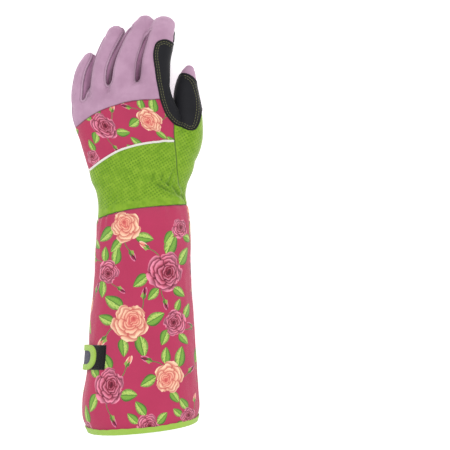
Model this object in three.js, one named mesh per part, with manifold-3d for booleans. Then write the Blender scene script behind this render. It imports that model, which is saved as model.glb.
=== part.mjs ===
// A long rose pruning gauntlet for the left hand. It lies palm down with its fingers towards +Y, its thumb
// towards +X and the back of the hand up. Every panel is a sewn wall of its own, cut out of one hollow form.
import * as THREE from "three";
import { mergeVertices } from "three/addons/utils/BufferGeometryUtils.js";
import Module from "manifold-3d";

// Driving sizes in millimetres. Lengths run from the seam where the wrist meets the cuff.
const HAND_LENGTH = 188; // seam to the longest fingertip
const HAND_WIDTH = 97; // across the four knuckles
const HAND_DEPTH = 33; // through the knuckles
const WRIST_WIDTH = 85; // at the elastic
const WRIST_DEPTH = 44;
const CUFF_LENGTH = 222; // seam to the lowest point of the hem
const CUFF_WIDTH = 116; // at the hem
const CUFF_DEPTH = 66;
const FINGER_WIDTH = 26; // index finger at its middle joint
const FINGER_DEPTH = 23;
const THUMB_WIDTH = 28; // across its pad
const THUMB_DEPTH = 25;
const LEATHER = 1.6; // wall of the hand's panels
const CUFF_CLOTH = 2; // wall of the cuff, printed cloth on a padded backing
const PATCH_THICKNESS = 1.2; // reinforcement laid over the leather
const PIPING_DIAMETER = 2.6;
const BINDING_WIDTH = 5.6; // hem tape, as seen from outside
const BINDING_THICKNESS = 1.2;
const STRAP_WIDTH = 24.5;
const STRAP_EDGE = 5.6; // width of the tape bound round the strap
const STRAP_THICKNESS = 2.4;
const STRAP_STAND_OFF = 1.2; // how far the slack strap bows out from the side of the cuff
const STRAP_CORE = 1.4;
const LOOP_PATCH_WIDTH = 23; // along the cuff
const LOOP_PATCH_THICKNESS = 1.2;
const SEAM_GAP = 0.3; // between neighbouring pieces
const STRIP_SHORT_OF_TIP = 9; // how far a side strip between two fingers stops short of the longer one's tip
const STRIP_OVER_SEAM = 4; // how far the block that cuts a side strip reaches above the finger
const PAST_HEM = 5; // how far the inner form runs out of the open end

const BODY_SIDES = 32;
const FINGER_SIDES = 10;
const THUMB_SIDES = 12;
const SMALLEST_DETAIL = 0.15; // facets flatter than this are merged
const TALL = 150; // reach of the blocks that part the panels

// Sections of the cuff from the hem to the seam. along is a share of CUFF_LENGTH; left, right and depth are
// shares of CUFF_WIDTH and CUFF_DEPTH; sag is the share of the depth pressed flat on the table; lean slopes a
// section so that its top reaches further out, and skew so that its thumb side does; lift marks where the hem
// tape holds the cloth off the table.
const CUFF_SECTIONS = [
  { along: 0.952, left: -0.442, right: 0.47, depth: 0.97, sag: 0.08, lean: 0.2, skew: 0.1, lift: 1 },
  { along: 0.91, left: -0.484, right: 0.492, depth: 1.0, sag: 0.09, lean: 0.18, skew: 0.09, lift: 1 },
  { along: 0.84, left: -0.5, right: 0.49, depth: 1.0, sag: 0.12, lean: 0.1, skew: 0.04, lift: 0 },
  { along: 0.76, left: -0.478, right: 0.48, depth: 0.98, sag: 0.12, lean: 0.03, skew: 0, lift: 0 },
  { along: 0.665, left: -0.45, right: 0.47, depth: 0.96, sag: 0.12, lean: 0, skew: 0, lift: 0 },
  { along: 0.5, left: -0.429, right: 0.452, depth: 0.93, sag: 0.12, lean: 0, skew: 0, lift: 0 },
  { along: 0.3, left: -0.392, right: 0.43, depth: 0.88, sag: 0.11, lean: 0, skew: 0, lift: 0 },
  { along: 0.13, left: -0.377, right: 0.424, depth: 0.83, sag: 0.1, lean: 0, skew: 0, lift: 0 },
];
// Sections of the wrist. along is a share of HAND_LENGTH; the rest are shares of WRIST_WIDTH and WRIST_DEPTH.
const WRIST_SECTIONS = [
  { along: -0.055, left: -0.498, right: 0.57, depth: 1.2, sag: 0.1, roll: 0 },
  { along: -0.01, left: -0.487, right: 0.556, depth: 1.12, sag: 0.09, roll: 0 },
  { along: 0.03, left: -0.49, right: 0.53, depth: 1.04, sag: 0.08, roll: 0 },
  { along: 0.062, left: -0.5, right: 0.513, depth: 1.0, sag: 0.07, roll: 0 },
  { along: 0.095, left: -0.52, right: 0.513, depth: 1.0, sag: 0.07, roll: 1 },
  { along: 0.13, left: -0.56, right: 0.533, depth: 0.99, sag: 0.07, roll: 2 },
];
// Sections of the palm up to the knuckles. along is a share of HAND_LENGTH; left, right and depth are shares of
// HAND_WIDTH and HAND_DEPTH; roll, in degrees, raises the thumb side; skew carries that side further forward.
const PALM_SECTIONS = [
  { along: 0.2, left: -0.53, right: 0.523, depth: 1.28, sag: 0.07, roll: 4, skew: 0 },
  { along: 0.28, left: -0.574, right: 0.548, depth: 1.24, sag: 0.07, roll: 6, skew: 0 },
  { along: 0.36, left: -0.626, right: 0.51, depth: 1.17, sag: 0.07, roll: 8, skew: 0 },
  { along: 0.43, left: -0.68, right: 0.44, depth: 1.1, sag: 0.07, roll: 10.5, skew: 0.02 },
  { along: 0.495, left: -0.708, right: 0.375, depth: 1.05, sag: 0.07, roll: 13, skew: 0.08 },
  { along: 0.55, left: -0.716, right: 0.318, depth: 1.0, sag: 0.06, roll: 15, skew: 0.15 },
  { along: 0.6, left: -0.708, right: 0.288, depth: 0.93, sag: 0.05, roll: 16, skew: 0.24 },
  { along: 0.635, left: -0.655, right: 0.262, depth: 0.74, sag: 0, roll: 16, skew: 0.28 },
  { along: 0.652, left: -0.52, right: 0.18, depth: 0.4, sag: 0, roll: 16, skew: 0.3 },
];
const SECTION_POWER = 2.25; // 2 is an ellipse, and more is squarer

// Gathers that the wrist elastic pulls into the back. angle is degrees round the section from the thumb side,
// drift turns it along the fold, spread is its half-width in degrees, from and to are shares of HAND_LENGTH,
// and depth is a share of WRIST_DEPTH.
const GATHERS = [
  { angle: 32, drift: 6, from: 0.05, to: 0.2, spread: 5, depth: 0.03 },
  { angle: 47, drift: 15, from: 0.05, to: 0.17, spread: 5, depth: 0.034 },
  { angle: 64, drift: 22, from: 0.04, to: 0.15, spread: 6, depth: 0.028 },
  { angle: 90, drift: 8, from: 0.04, to: 0.12, spread: 6, depth: 0.014 },
  { angle: 118, drift: -6, from: 0.04, to: 0.12, spread: 6, depth: 0.014 },
  { angle: 145, drift: -8, from: 0.04, to: 0.13, spread: 6, depth: 0.016 },
];

// Fingers from base to tip. x is a share of HAND_WIDTH from the wrist's middle, y of HAND_LENGTH, z of
// FINGER_DEPTH; wide and deep are half-sizes as shares of FINGER_WIDTH and FINGER_DEPTH. seam is where the
// sewn edge of the side strip lies across the finger, from -1 at its left to 1 at its right.
const FINGERS = [
  {
    name: "little",
    seam: 0.05,
    crotch: 0.548,
    rows: [
      { x: -0.602, y: 0.56, z: 0.495, wide: 0.372, deep: 0.43 },
      { x: -0.594, y: 0.65, z: 0.455, wide: 0.362, deep: 0.41 },
      { x: -0.564, y: 0.72, z: 0.425, wide: 0.335, deep: 0.39 },
      { x: -0.524, y: 0.766, z: 0.39, wide: 0.285, deep: 0.35 },
      { x: -0.497, y: 0.794, z: 0.355, wide: 0.21, deep: 0.25 },
      { x: -0.482, y: 0.808, z: 0.33, wide: 0, deep: 0 },
    ],
  },
  {
    name: "ring",
    seam: 0.42,
    crotch: 0.618,
    rows: [
      { x: -0.42, y: 0.565, z: 0.81, wide: 0.388, deep: 0.46 },
      { x: -0.408, y: 0.655, z: 0.86, wide: 0.385, deep: 0.45 },
      { x: -0.39, y: 0.72, z: 0.88, wide: 0.385, deep: 0.44 },
      { x: -0.33, y: 0.818, z: 0.81, wide: 0.375, deep: 0.42 },
      { x: -0.263, y: 0.893, z: 0.65, wide: 0.345, deep: 0.38 },
      { x: -0.232, y: 0.93, z: 0.54, wide: 0.27, deep: 0.28 },
      { x: -0.22, y: 0.949, z: 0.48, wide: 0, deep: 0 },
    ],
  },
  {
    name: "middle",
    seam: 0.8,
    crotch: 0.652,
    rows: [
      { x: -0.2, y: 0.575, z: 1.1, wide: 0.475, deep: 0.5 },
      { x: -0.181, y: 0.68, z: 1.15, wide: 0.51, deep: 0.49 },
      { x: -0.16, y: 0.742, z: 1.15, wide: 0.51, deep: 0.48 },
      { x: -0.108, y: 0.824, z: 1.09, wide: 0.46, deep: 0.46 },
      { x: -0.04, y: 0.9, z: 0.93, wide: 0.4, deep: 0.42 },
      { x: 0.022, y: 0.952, z: 0.76, wide: 0.335, deep: 0.34 },
      { x: 0.062, y: 0.982, z: 0.63, wide: 0.24, deep: 0.24 },
      { x: 0.08, y: 0.997, z: 0.58, wide: 0, deep: 0 },
    ],
  },
  {
    name: "index",
    seam: 0.7,
    rows: [
      { x: 0.128, y: 0.58, z: 1.27, wide: 0.55, deep: 0.515 },
      { x: 0.133, y: 0.698, z: 1.32, wide: 0.55, deep: 0.5 },
      { x: 0.146, y: 0.782, z: 1.31, wide: 0.53, deep: 0.49 },
      { x: 0.178, y: 0.85, z: 1.23, wide: 0.51, deep: 0.47 },
      { x: 0.206, y: 0.917, z: 1.06, wide: 0.47, deep: 0.43 },
      { x: 0.226, y: 0.955, z: 0.9, wide: 0.4, deep: 0.36 },
      { x: 0.232, y: 0.98, z: 0.79, wide: 0.31, deep: 0.25 },
      { x: 0.235, y: 0.994, z: 0.74, wide: 0, deep: 0 },
    ],
  },
];
// The thumb in the same columns, with z, wide and deep as shares of THUMB_DEPTH, THUMB_WIDTH and THUMB_DEPTH.
const THUMB = {
  name: "thumb",
  rows: [
    { x: 0.2, y: 0.12, z: 0.75, wide: 0.5, deep: 0.5 },
    { x: 0.33, y: 0.235, z: 0.8, wide: 0.575, deep: 0.6 },
    { x: 0.435, y: 0.33, z: 0.83, wide: 0.57, deep: 0.6 },
    { x: 0.475, y: 0.43, z: 0.8, wide: 0.505, deep: 0.57 },
    { x: 0.472, y: 0.51, z: 0.74, wide: 0.465, deep: 0.53 },
    { x: 0.46, y: 0.58, z: 0.68, wide: 0.42, deep: 0.49 },
    { x: 0.459, y: 0.635, z: 0.6, wide: 0.36, deep: 0.44 },
    { x: 0.472, y: 0.688, z: 0.5, wide: 0.27, deep: 0.35 },
    { x: 0.486, y: 0.724, z: 0.4, wide: 0.17, deep: 0.24 },
    { x: 0.495, y: 0.744, z: 0.34, wide: 0, deep: 0 },
  ],
};

// Seams seen from above. x is a share of HAND_WIDTH and y of HAND_LENGTH.
const KNUCKLE_SEAM = [
  [-0.9, 0.36],
  [-0.68, 0.416],
  [-0.56, 0.464],
  [-0.415, 0.508],
  [-0.265, 0.536],
  [-0.11, 0.557],
  [0.04, 0.565],
  [0.19, 0.568],
  [0.36, 0.568],
];
const PIPING_SEAM = [
  [-0.8, 0.11],
  [-0.6, 0.172],
  [-0.515, 0.2],
  [-0.43, 0.235],
  [-0.345, 0.265],
  [-0.23, 0.298],
  [-0.11, 0.32],
  [0.02, 0.336],
  [0.17, 0.346],
  [0.4, 0.352],
];
const CUFF_SEAM = [
  [-0.8, -0.1],
  [-0.445, -0.057],
  [-0.355, -0.036],
  [-0.23, -0.018],
  [-0.11, -0.005],
  [0.09, 0.008],
  [0.29, 0.016],
  [0.46, 0.021],
  [0.8, 0.024],
];
// The seam between the back and the thumb side, from the wrist to the knuckles.
const GUSSET_SEAM = [
  [0.47, -0.05],
  [0.46, 0.02],
  [0.405, 0.09],
  [0.375, 0.16],
  [0.362, 0.24],
  [0.352, 0.3],
  [0.34, 0.352],
  [0.338, 0.44],
  [0.338, 0.51],
  [0.322, 0.56],
  [0.31, 0.6],
  [0.306, 0.68],
  [0.335, 0.75],
  [0.6, 0.79],
  [0.9, 0.8],
];
const GUSSET_AT_PIPING = 0.34; // where that seam crosses the piping, a share of HAND_WIDTH
// Where the thumb's leather meets the thumb side panel and the palm.
const THUMB_ROOT_SEAM = [
  [-1, 0.505],
  [1, 0.505],
];

// Outline of the thumb crotch patch, seen from above, in the seams' shares: up the inside of the thumb, over
// its tip, round its outer edge, under the crotch and up the back of the index finger.
const PATCH_OUTLINE = [
  [0.375, 0.7],
  [0.41, 0.702],
  [0.445, 0.704],
  [0.49, 0.696],
  [0.535, 0.676],
  [0.565, 0.652],
  [0.584, 0.62],
  [0.604, 0.58],
  [0.615, 0.52],
  [0.612, 0.472],
  [0.594, 0.434],
  [0.565, 0.414],
  [0.518, 0.402],
  [0.47, 0.404],
  [0.423, 0.417],
  [0.354, 0.43],
  [0.3, 0.453],
  [0.253, 0.482],
  [0.222, 0.517],
  [0.19, 0.57],
  [0.176, 0.608],
  [0.155, 0.66],
  [0.14, 0.72],
  [0.125, 0.772],
  [0.124, 0.812],
  [0.144, 0.856],
  [0.185, 0.874],
  [0.237, 0.88],
  [0.283, 0.874],
  [0.34, 0.855],
  [0.385, 0.83],
];
const PATCH_WRAP = 8; // how far the patch runs down past the side seam
const TIP_PAD = { left: 0.08, right: 0.4, from: 0.89 }; // index finger, seen from above

// The strap on the little finger side of the cuff: place along the cuff and degrees round its section.
const STRAP = { along: 0.657, tip: 143, sewn: 213, patchFrom: 128, patchTo: 160 };
const STRAP_ROUNDED = 0.245; // share of its length over which the tip is rounded
const STRAP_TIP_POWER = 2.4; // 2 is a half ellipse, and more is squarer
const STRAP_TIP_BLUNT = 0.4; // share of the width that the tip's flat end keeps
const STRAP_EDGE_ANGLE = 5; // the tape across the tip, in degrees round the cuff
const STRAP_HELD = 2.2; // how far the web stops short of the edge inside the tape
const STRAP_HELD_ANGLE = 1.6;
const STRAP_WINDOW_PAST = 3; // degrees that the opening inside the tape runs past the sewn end
const STRAP_STEPS = 14;
const SEAM_STEPS = 12;
const PIPING_STEPS = 18;
const PIPING_SIDES = 8;

const wasm = await Module();
wasm.setup();

const handX = (share) => share * HAND_WIDTH;
const handY = (share) => share * HAND_LENGTH;
const radians = THREE.MathUtils.degToRad;

// Solids and geometries

function solidOf(geometry) {
  const bare = new THREE.BufferGeometry().setAttribute("position", geometry.getAttribute("position"));
  bare.setIndex(geometry.getIndex());
  const merged = mergeVertices(bare, 1e-4);
  const mesh = new wasm.Mesh({
    numProp: 3,
    vertProperties: new Float32Array(merged.getAttribute("position").array),
    triVerts: new Uint32Array(merged.getIndex().array),
  });
  return new wasm.Manifold(mesh);
}

function geometryOf(solid) {
  const mesh = solid.getMesh();
  const positions = new Float32Array(mesh.numVert * 3);
  for (let i = 0; i < mesh.numVert; i++) {
    positions.set(mesh.vertProperties.subarray(i * mesh.numProp, i * mesh.numProp + 3), i * 3);
  }
  const geometry = new THREE.BufferGeometry();
  geometry.setAttribute("position", new THREE.BufferAttribute(positions, 3));
  geometry.setIndex(new THREE.BufferAttribute(new Uint32Array(mesh.triVerts), 1));
  geometry.computeVertexNormals();
  return geometry;
}

// A closed geometry from points and triangles, turned so that its faces point outwards.
function closedGeometry(points, triangles) {
  let volume = 0;
  for (const [a, b, c] of triangles) {
    volume += points[a].dot(new THREE.Vector3().crossVectors(points[b], points[c]));
  }
  const index = triangles.flatMap(([a, b, c]) => (volume < 0 ? [a, c, b] : [a, b, c]));
  const geometry = new THREE.BufferGeometry().setFromPoints(points);
  geometry.setIndex(index);
  return geometry;
}

// A solid skinned over rings of equally many points, with a fan over each end.
function loft(rings) {
  const sides = rings[0].length;
  const points = rings.flat();
  const triangles = [];
  for (let row = 0; row + 1 < rings.length; row++) {
    for (let side = 0; side < sides; side++) {
      const next = (side + 1) % sides;
      const [a, b] = [row * sides + side, row * sides + next];
      const [c, d] = [a + sides, b + sides];
      triangles.push([a, b, d], [a, d, c]);
    }
  }
  for (const [row, turn] of [[0, 1], [rings.length - 1, 0]]) {
    const middle = new THREE.Vector3();
    rings[row].forEach((point) => middle.addScaledVector(point, 1 / sides));
    const hub = points.push(middle) - 1;
    for (let side = 0; side < sides; side++) {
      const [a, b] = [row * sides + side, row * sides + ((side + 1) % sides)];
      triangles.push(turn ? [hub, b, a] : [hub, a, b]);
    }
  }
  return solidOf(closedGeometry(points, triangles));
}

// A solid skinned over rings that close on themselves both ways, such as a hem tape.
function hoop(rings) {
  const sides = rings[0].length;
  const triangles = [];
  for (let row = 0; row < rings.length; row++) {
    const nextRow = (row + 1) % rings.length;
    for (let side = 0; side < sides; side++) {
      const next = (side + 1) % sides;
      const [a, b] = [row * sides + side, row * sides + next];
      const [c, d] = [nextRow * sides + side, nextRow * sides + next];
      triangles.push([a, b, d], [a, d, c]);
    }
  }
  return solidOf(closedGeometry(rings.flat(), triangles));
}

// An upright block over an outline of [x, y] points.
function uprightBlock(outline) {
  const shape = new THREE.Shape(outline.map(([x, y]) => new THREE.Vector2(x, y)));
  const geometry = new THREE.ExtrudeGeometry(shape, { depth: 2 * TALL, bevelEnabled: false });
  geometry.translate(0, 0, -TALL);
  return solidOf(geometry);
}

// The form of the glove

function mix(low, high, share) {
  const row = {};
  for (const key of Object.keys(low)) row[key] = THREE.MathUtils.lerp(low[key], high[key], share);
  return row;
}

// The row at a place along a table sorted by rising y, held past its ends.
function rowAt(rows, y) {
  const last = rows.length - 1;
  if (y <= rows[0].y) return rows[0];
  if (y >= rows[last].y) return rows[last];
  const high = rows.findIndex((row) => row.y > y);
  return mix(rows[high - 1], rows[high], (y - rows[high - 1].y) / (rows[high].y - rows[high - 1].y));
}

// Body sections in millimetres, from the hem to the knuckles.
function bodyRow(section, width, depth, y) {
  const { left, right, sag, roll = 0, skew = 0, lean = 0, lift = 0 } = section;
  const tall = section.depth * depth;
  return {
    y,
    x: ((left + right) / 2) * width,
    wide: ((right - left) / 2) * width,
    deep: (tall * (1 + sag)) / 2,
    sag: sag * tall,
    roll: radians(roll),
    skew,
    lean,
    lift: lift * (BINDING_THICKNESS + SEAM_GAP),
  };
}
const BODY = [
  ...CUFF_SECTIONS.map((s) => bodyRow(s, CUFF_WIDTH, CUFF_DEPTH, -s.along * CUFF_LENGTH)),
  ...WRIST_SECTIONS.map((s) => bodyRow(s, WRIST_WIDTH, WRIST_DEPTH, handY(s.along))),
  ...PALM_SECTIONS.map((s) => bodyRow(s, HAND_WIDTH, HAND_DEPTH, handY(s.along))),
];
const HEM = BODY[0].y;
const KNUCKLES = BODY[BODY.length - 4].y; // the last full section

const bodyCentre = (row) =>
  row.lift + Math.hypot(row.wide * Math.sin(row.roll), row.deep * Math.cos(row.roll)) - row.sag;

// How deep the gathers press in at an angle in degrees and a place along the hand.
function gatherDepth(angle, y) {
  let depth = 0;
  for (const fold of GATHERS) {
    const share = (y - handY(fold.from)) / (handY(fold.to) - handY(fold.from));
    if (share <= 0 || share >= 1) continue;
    const away = (angle - fold.angle - fold.drift * share) / fold.spread;
    depth += fold.depth * WRIST_DEPTH * Math.sin(Math.PI * share) * Math.exp(-away * away);
  }
  return depth;
}

// A point on the body's skin, moved out by offset, with the underside pressed flat on the table.
function bodyPoint(row, angle, offset) {
  const power = 2 / SECTION_POWER;
  const [c, s] = [Math.cos(angle), Math.sin(angle)];
  const dent = gatherDepth(THREE.MathUtils.radToDeg(angle), row.y);
  const across = Math.sign(c) * Math.abs(c) ** power * (row.wide + offset);
  const up = Math.sign(s) * Math.abs(s) ** power * (row.deep + offset - dent);
  const [cr, sr] = [Math.cos(row.roll), Math.sin(row.roll)];
  const x = across * cr - up * sr;
  const z = bodyCentre(row) + across * sr + up * cr;
  const table = offset > 0 && row.lift === 0 ? 0 : row.lift - offset;
  return new THREE.Vector3(row.x + x, row.y + row.skew * x - row.lean * up, Math.max(z, table));
}

function ringOf(sides, pointAt) {
  return Array.from({ length: sides }, (_, side) => pointAt((side / sides) * 2 * Math.PI));
}

function bodyForm(offset, pastHem) {
  const top = BODY[BODY.length - 1];
  const widest = BODY[BODY.length - 3].wide;
  const rings = BODY.map((row) => {
    const taper = row.y > KNUCKLES ? 1 - row.wide / widest : 0;
    const moved = { ...row, y: row.y + offset * taper };
    return ringOf(BODY_SIDES, (angle) => bodyPoint(moved, angle, offset));
  });
  rings.push([...rings[rings.length - 1]].map((point) => point.clone().lerp(
    new THREE.Vector3(top.x, top.y + offset, bodyCentre(top)), 0.6)));
  if (pastHem) rings.unshift(ringOf(BODY_SIDES, (angle) =>
    bodyPoint({ ...BODY[0], y: HEM - pastHem }, angle, offset)));
  return loft(rings);
}

// A finger's rows in millimetres.
function digitRows(digit, width, depth) {
  return digit.rows.map((row) => ({
    x: handX(row.x),
    y: handY(row.y),
    z: row.z * depth,
    wide: row.wide * width,
    deep: row.deep * depth,
  }));
}
const DIGITS = FINGERS.map((finger) => ({
  ...finger,
  rows: digitRows(finger, FINGER_WIDTH, FINGER_DEPTH),
  sides: FINGER_SIDES,
}));
const THUMB_DIGIT = {
  ...THUMB,
  rows: digitRows(THUMB, THUMB_WIDTH, THUMB_DEPTH),
  sides: THUMB_SIDES,
};

// A finger's form, moved out by offset: rings square to its centre line, and a point at the tip.
function digitForm(digit, offset) {
  const { rows, sides } = digit;
  const widest = Math.max(...rows.map((row) => row.wide));
  const rings = [];
  rows.forEach((row, place) => {
    const before = rows[Math.max(place - 1, 0)];
    const after = rows[Math.min(place + 1, rows.length - 1)];
    const ahead = new THREE.Vector3(after.x - before.x, after.y - before.y, after.z - before.z).normalize();
    const across = new THREE.Vector3().crossVectors(ahead, new THREE.Vector3(0, 0, 1)).normalize();
    const up = new THREE.Vector3().crossVectors(across, ahead);
    const centre = new THREE.Vector3(row.x, row.y, row.z)
      .addScaledVector(ahead, offset * (1 - row.wide / widest));
    const wide = row.wide && Math.max(row.wide + offset, row.wide / 4);
    const deep = row.deep && Math.max(row.deep + offset, row.deep / 4);
    const table = offset > 0 ? 0 : -offset;
    rings.push(ringOf(sides, (angle) => {
      const point = centre.clone()
        .addScaledVector(across, Math.cos(angle) * Math.max(wide, 0.05))
        .addScaledVector(up, Math.sin(angle) * Math.max(deep, 0.05));
      point.z = Math.max(point.z, table);
      return point;
    }));
  });
  return loft(rings);
}

// The whole glove as one solid, moved out by offset.
function gloveForm(offset, pastHem = 0) {
  const parts = [...DIGITS, THUMB_DIGIT].map((digit) => digitForm(digit, offset));
  return parts.reduce((all, part) => all.add(part), bodyForm(offset, pastHem));
}

// Blocks that part the panels

const smooth = (points) => new THREE.SplineCurve(points.map(([x, y]) => new THREE.Vector2(handX(x), handY(y))));

// Points along a seam, moved to its left (side 1) or right (side -1) by half the gap and by grown.
function seamLine(points, side, grown) {
  const curve = smooth(points);
  const shift = side * (SEAM_GAP / 2 - grown);
  return Array.from({ length: SEAM_STEPS + 1 }, (_, i) => {
    const at = curve.getPoint(i / SEAM_STEPS);
    const ahead = curve.getTangent(i / SEAM_STEPS);
    return [at.x - ahead.y * shift, at.y + ahead.x * shift];
  });
}
const above = (seam, grown = 0) =>
  uprightBlock([...seamLine(seam, 1, grown), [TALL, TALL * 2], [-TALL, TALL * 2]]);
const below = (seam) => uprightBlock([...seamLine(seam, -1, 0), [TALL, -TALL * 3], [-TALL, -TALL * 3]]);
const rightOf = (seam, grown = 0) => uprightBlock([...seamLine(seam, -1, grown), [TALL, TALL], [TALL, -TALL]]);
const leftOf = (seam) =>
  uprightBlock([...seamLine(seam, 1, 0), [TALL, TALL], [TALL, TALL * 2], [-TALL, TALL * 2], [-TALL, -TALL]]);

// The height of the side seam at a place along the hand, as [x, z] corners from the little finger to the thumb.
function partingLine(y) {
  const body = rowAt(BODY, y);
  const corners = [...DIGITS, THUMB_DIGIT].map(({ rows }) => {
    const row = rowAt(rows, y);
    const inFinger = y > rows[0].y;
    const z = inFinger ? row.z : bodyCentre(body) + Math.tan(body.roll) * (row.x - body.x);
    return [row.x, z];
  });
  return [[-TALL, corners[0][1]], ...corners, [TALL, corners[corners.length - 1][1]]];
}
const PARTING_STOPS = [-0.3, 0, 0.1, 0.3, 0.5, 0.58, 0.66, 0.74, 0.82, 0.9, 0.96, 1.1];

// All that lies above (side 1) or below (side -1) the side seam, moved by a height.
function partedBlock(side, height) {
  return loft(PARTING_STOPS.map((share) => {
    const line = partingLine(handY(share)).map(([x, z]) => new THREE.Vector3(x, handY(share), z + height));
    const far = [...line].reverse().map((point) => new THREE.Vector3(point.x, point.y, side * TALL));
    return [...line, ...far];
  }));
}

// The block that holds the side strip between a finger and the next one, grown all round by a margin.
function stripBlock(finger, next, margin) {
  const crotch = handY(finger.crotch);
  const longer = Math.max(finger.rows[finger.rows.length - 1].y, next.rows[next.rows.length - 1].y);
  const tip = longer - STRIP_SHORT_OF_TIP;
  const stops = 5;
  return loft(Array.from({ length: stops + 1 }, (_, i) => {
    const end = i === 0 ? -margin : i === stops ? margin : 0;
    const y = THREE.MathUtils.lerp(crotch, tip, i / stops) + end;
    const [low, high] = [rowAt(finger.rows, y), rowAt(next.rows, y)];
    const hang = { low: finger.rows[1].deep, high: next.rows[1].deep };
    const left = low.x + finger.seam * low.wide - margin;
    const right = high.x - next.rows[1].wide * 0.2 + margin;
    return [
      new THREE.Vector3(left, y, low.z + hang.low + STRIP_OVER_SEAM + margin),
      new THREE.Vector3(right, y, high.z - hang.high * 0.05 + margin),
      new THREE.Vector3(right, y, high.z - hang.high * 0.6 - margin),
      new THREE.Vector3(left, y, low.z - hang.low * 0.6 - margin),
    ];
  }));
}

// The hand's panels

const skin = gloveForm(0).subtract(gloveForm(-LEATHER, PAST_HEM));
const handSkin = skin.intersect(above(CUFF_SEAM));
const overlay = gloveForm(SEAM_GAP + PATCH_THICKNESS).subtract(gloveForm(SEAM_GAP));
const upper = partedBlock(1, SEAM_GAP / 2);
const lower = partedBlock(-1, -SEAM_GAP / 2);
const fingerPairs = DIGITS.slice(0, -1).map((finger, i) => [finger, DIGITS[i + 1]]);
const cutStrips = (solid) =>
  fingerPairs.reduce((left, [finger, next]) => left.subtract(stripBlock(finger, next, SEAM_GAP)), solid);
const back = cutStrips(handSkin.intersect(upper)).intersect(leftOf(GUSSET_SEAM));
const thumbZone = (grown) => rightOf(GUSSET_SEAM, grown).intersect(above(THUMB_ROOT_SEAM, grown));

const fingerBacks = () => back.intersect(above(KNUCKLE_SEAM));
const knucklePanel = () => back.intersect(below(KNUCKLE_SEAM)).intersect(above(PIPING_SEAM));
const wristBack = () => back.intersect(below(PIPING_SEAM));
const fourchette = (finger, next) => handSkin.intersect(stripBlock(finger, next, 0));
const thumb = () => handSkin.intersect(thumbZone(0));
const thumbGusset = () =>
  handSkin.intersect(rightOf(GUSSET_SEAM)).intersect(upper).intersect(below(THUMB_ROOT_SEAM));
const palm = () => cutStrips(handSkin.intersect(lower)).subtract(thumbZone(SEAM_GAP));

const crotchPatch = () =>
  overlay.intersect(uprightBlock(smooth(PATCH_OUTLINE).getPoints(44).map(({ x, y }) => [x, y])))
    .intersect(partedBlock(1, -PATCH_WRAP));

function indexTipPad() {
  const [left, right, from, to] = [TIP_PAD.left, TIP_PAD.right, TIP_PAD.from, 1.1];
  const outline = [[left, from], [right, from], [right, to], [left, to]];
  return overlay.intersect(uprightBlock(outline.map(([x, y]) => [handX(x), handY(y)])))
    .intersect(partedBlock(-1, -SEAM_GAP));
}

// A point on the back's skin over a place seen from above, raised by offset.
function onBack(x, y, offset) {
  const row = rowAt(BODY, y);
  let [low, high] = [0, Math.PI];
  for (let i = 0; i < 30; i++) {
    const middle = (low + high) / 2;
    if (bodyPoint(row, middle, offset).x > x) low = middle;
    else high = middle;
  }
  return bodyPoint(row, low, offset);
}

// A round cord along points, closed at both ends.
function cord(points, radius) {
  const path = new THREE.CatmullRomCurve3(points);
  const tube = new THREE.TubeGeometry(path, PIPING_STEPS, radius, PIPING_SIDES, false);
  const at = tube.getAttribute("position");
  return loft(Array.from({ length: PIPING_STEPS + 1 }, (_, row) =>
    Array.from({ length: PIPING_SIDES }, (_, side) =>
      new THREE.Vector3().fromBufferAttribute(at, row * (PIPING_SIDES + 1) + side))));
}

function piping() {
  const height = PIPING_DIAMETER / 2 + SEAM_GAP;
  const seam = smooth(PIPING_SEAM).getPoints(PIPING_STEPS * 2);
  const reach = ({ x, y }) => {
    const row = rowAt(BODY, y);
    return x > row.x - row.wide + PIPING_DIAMETER && x < handX(GUSSET_AT_PIPING) - PIPING_DIAMETER / 2;
  };
  return cord(seam.filter(reach).map(({ x, y }) => onBack(x, y, height)), PIPING_DIAMETER / 2);
}

// The cuff and what is sewn to it

const cuff = () => bodyForm(0).subtract(bodyForm(-CUFF_CLOTH, PAST_HEM)).intersect(below(CUFF_SEAM));

const cuffPoint = (y, angle, offset) => bodyPoint({ ...rowAt(BODY, y), y }, angle, offset);

// Tape folded round the open end: an outer leg, a fold and an inner leg.
function hemBinding() {
  const outer = SEAM_GAP + BINDING_THICKNESS;
  const inner = -CUFF_CLOTH - SEAM_GAP;
  const leg = BINDING_WIDTH - outer;
  const profile = [
    [SEAM_GAP, leg],
    [outer, leg],
    [outer, -outer * 0.5],
    [SEAM_GAP, -outer],
    [inner, -outer],
    [inner - BINDING_THICKNESS, -outer * 0.5],
    [inner - BINDING_THICKNESS, leg],
    [inner, leg],
    [inner, -SEAM_GAP],
    [SEAM_GAP, -SEAM_GAP],
  ];
  return hoop(ringOf(BODY_SIDES, (angle) =>
    profile.map(([offset, along]) => cuffPoint(HEM + along, angle, offset))));
}

// A flat bar bent round the cuff between two angles in degrees. half gives its half-width and floor its
// height off the cuff at a share of the way from the first angle to the second.
function cuffBar(from, to, half, floor, thickness) {
  const middle = -STRAP.along * CUFF_LENGTH;
  return loft(Array.from({ length: STRAP_STEPS + 1 }, (_, i) => {
    const share = (i / STRAP_STEPS) ** 1.5; // closer together at the rounded tip
    const angle = radians(THREE.MathUtils.lerp(from, to, share));
    const [wide, low] = [half(share), floor(share)];
    const corner = (side, offset) => cuffPoint(middle + side * wide, angle, offset);
    return [corner(-1, low), corner(1, low), corner(1, low + thickness), corner(-1, low + thickness)];
  }));
}

const loopPatch = () =>
  cuffBar(STRAP.patchFrom, STRAP.patchTo, () => LOOP_PATCH_WIDTH / 2, () => SEAM_GAP, LOOP_PATCH_THICKNESS);

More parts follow.
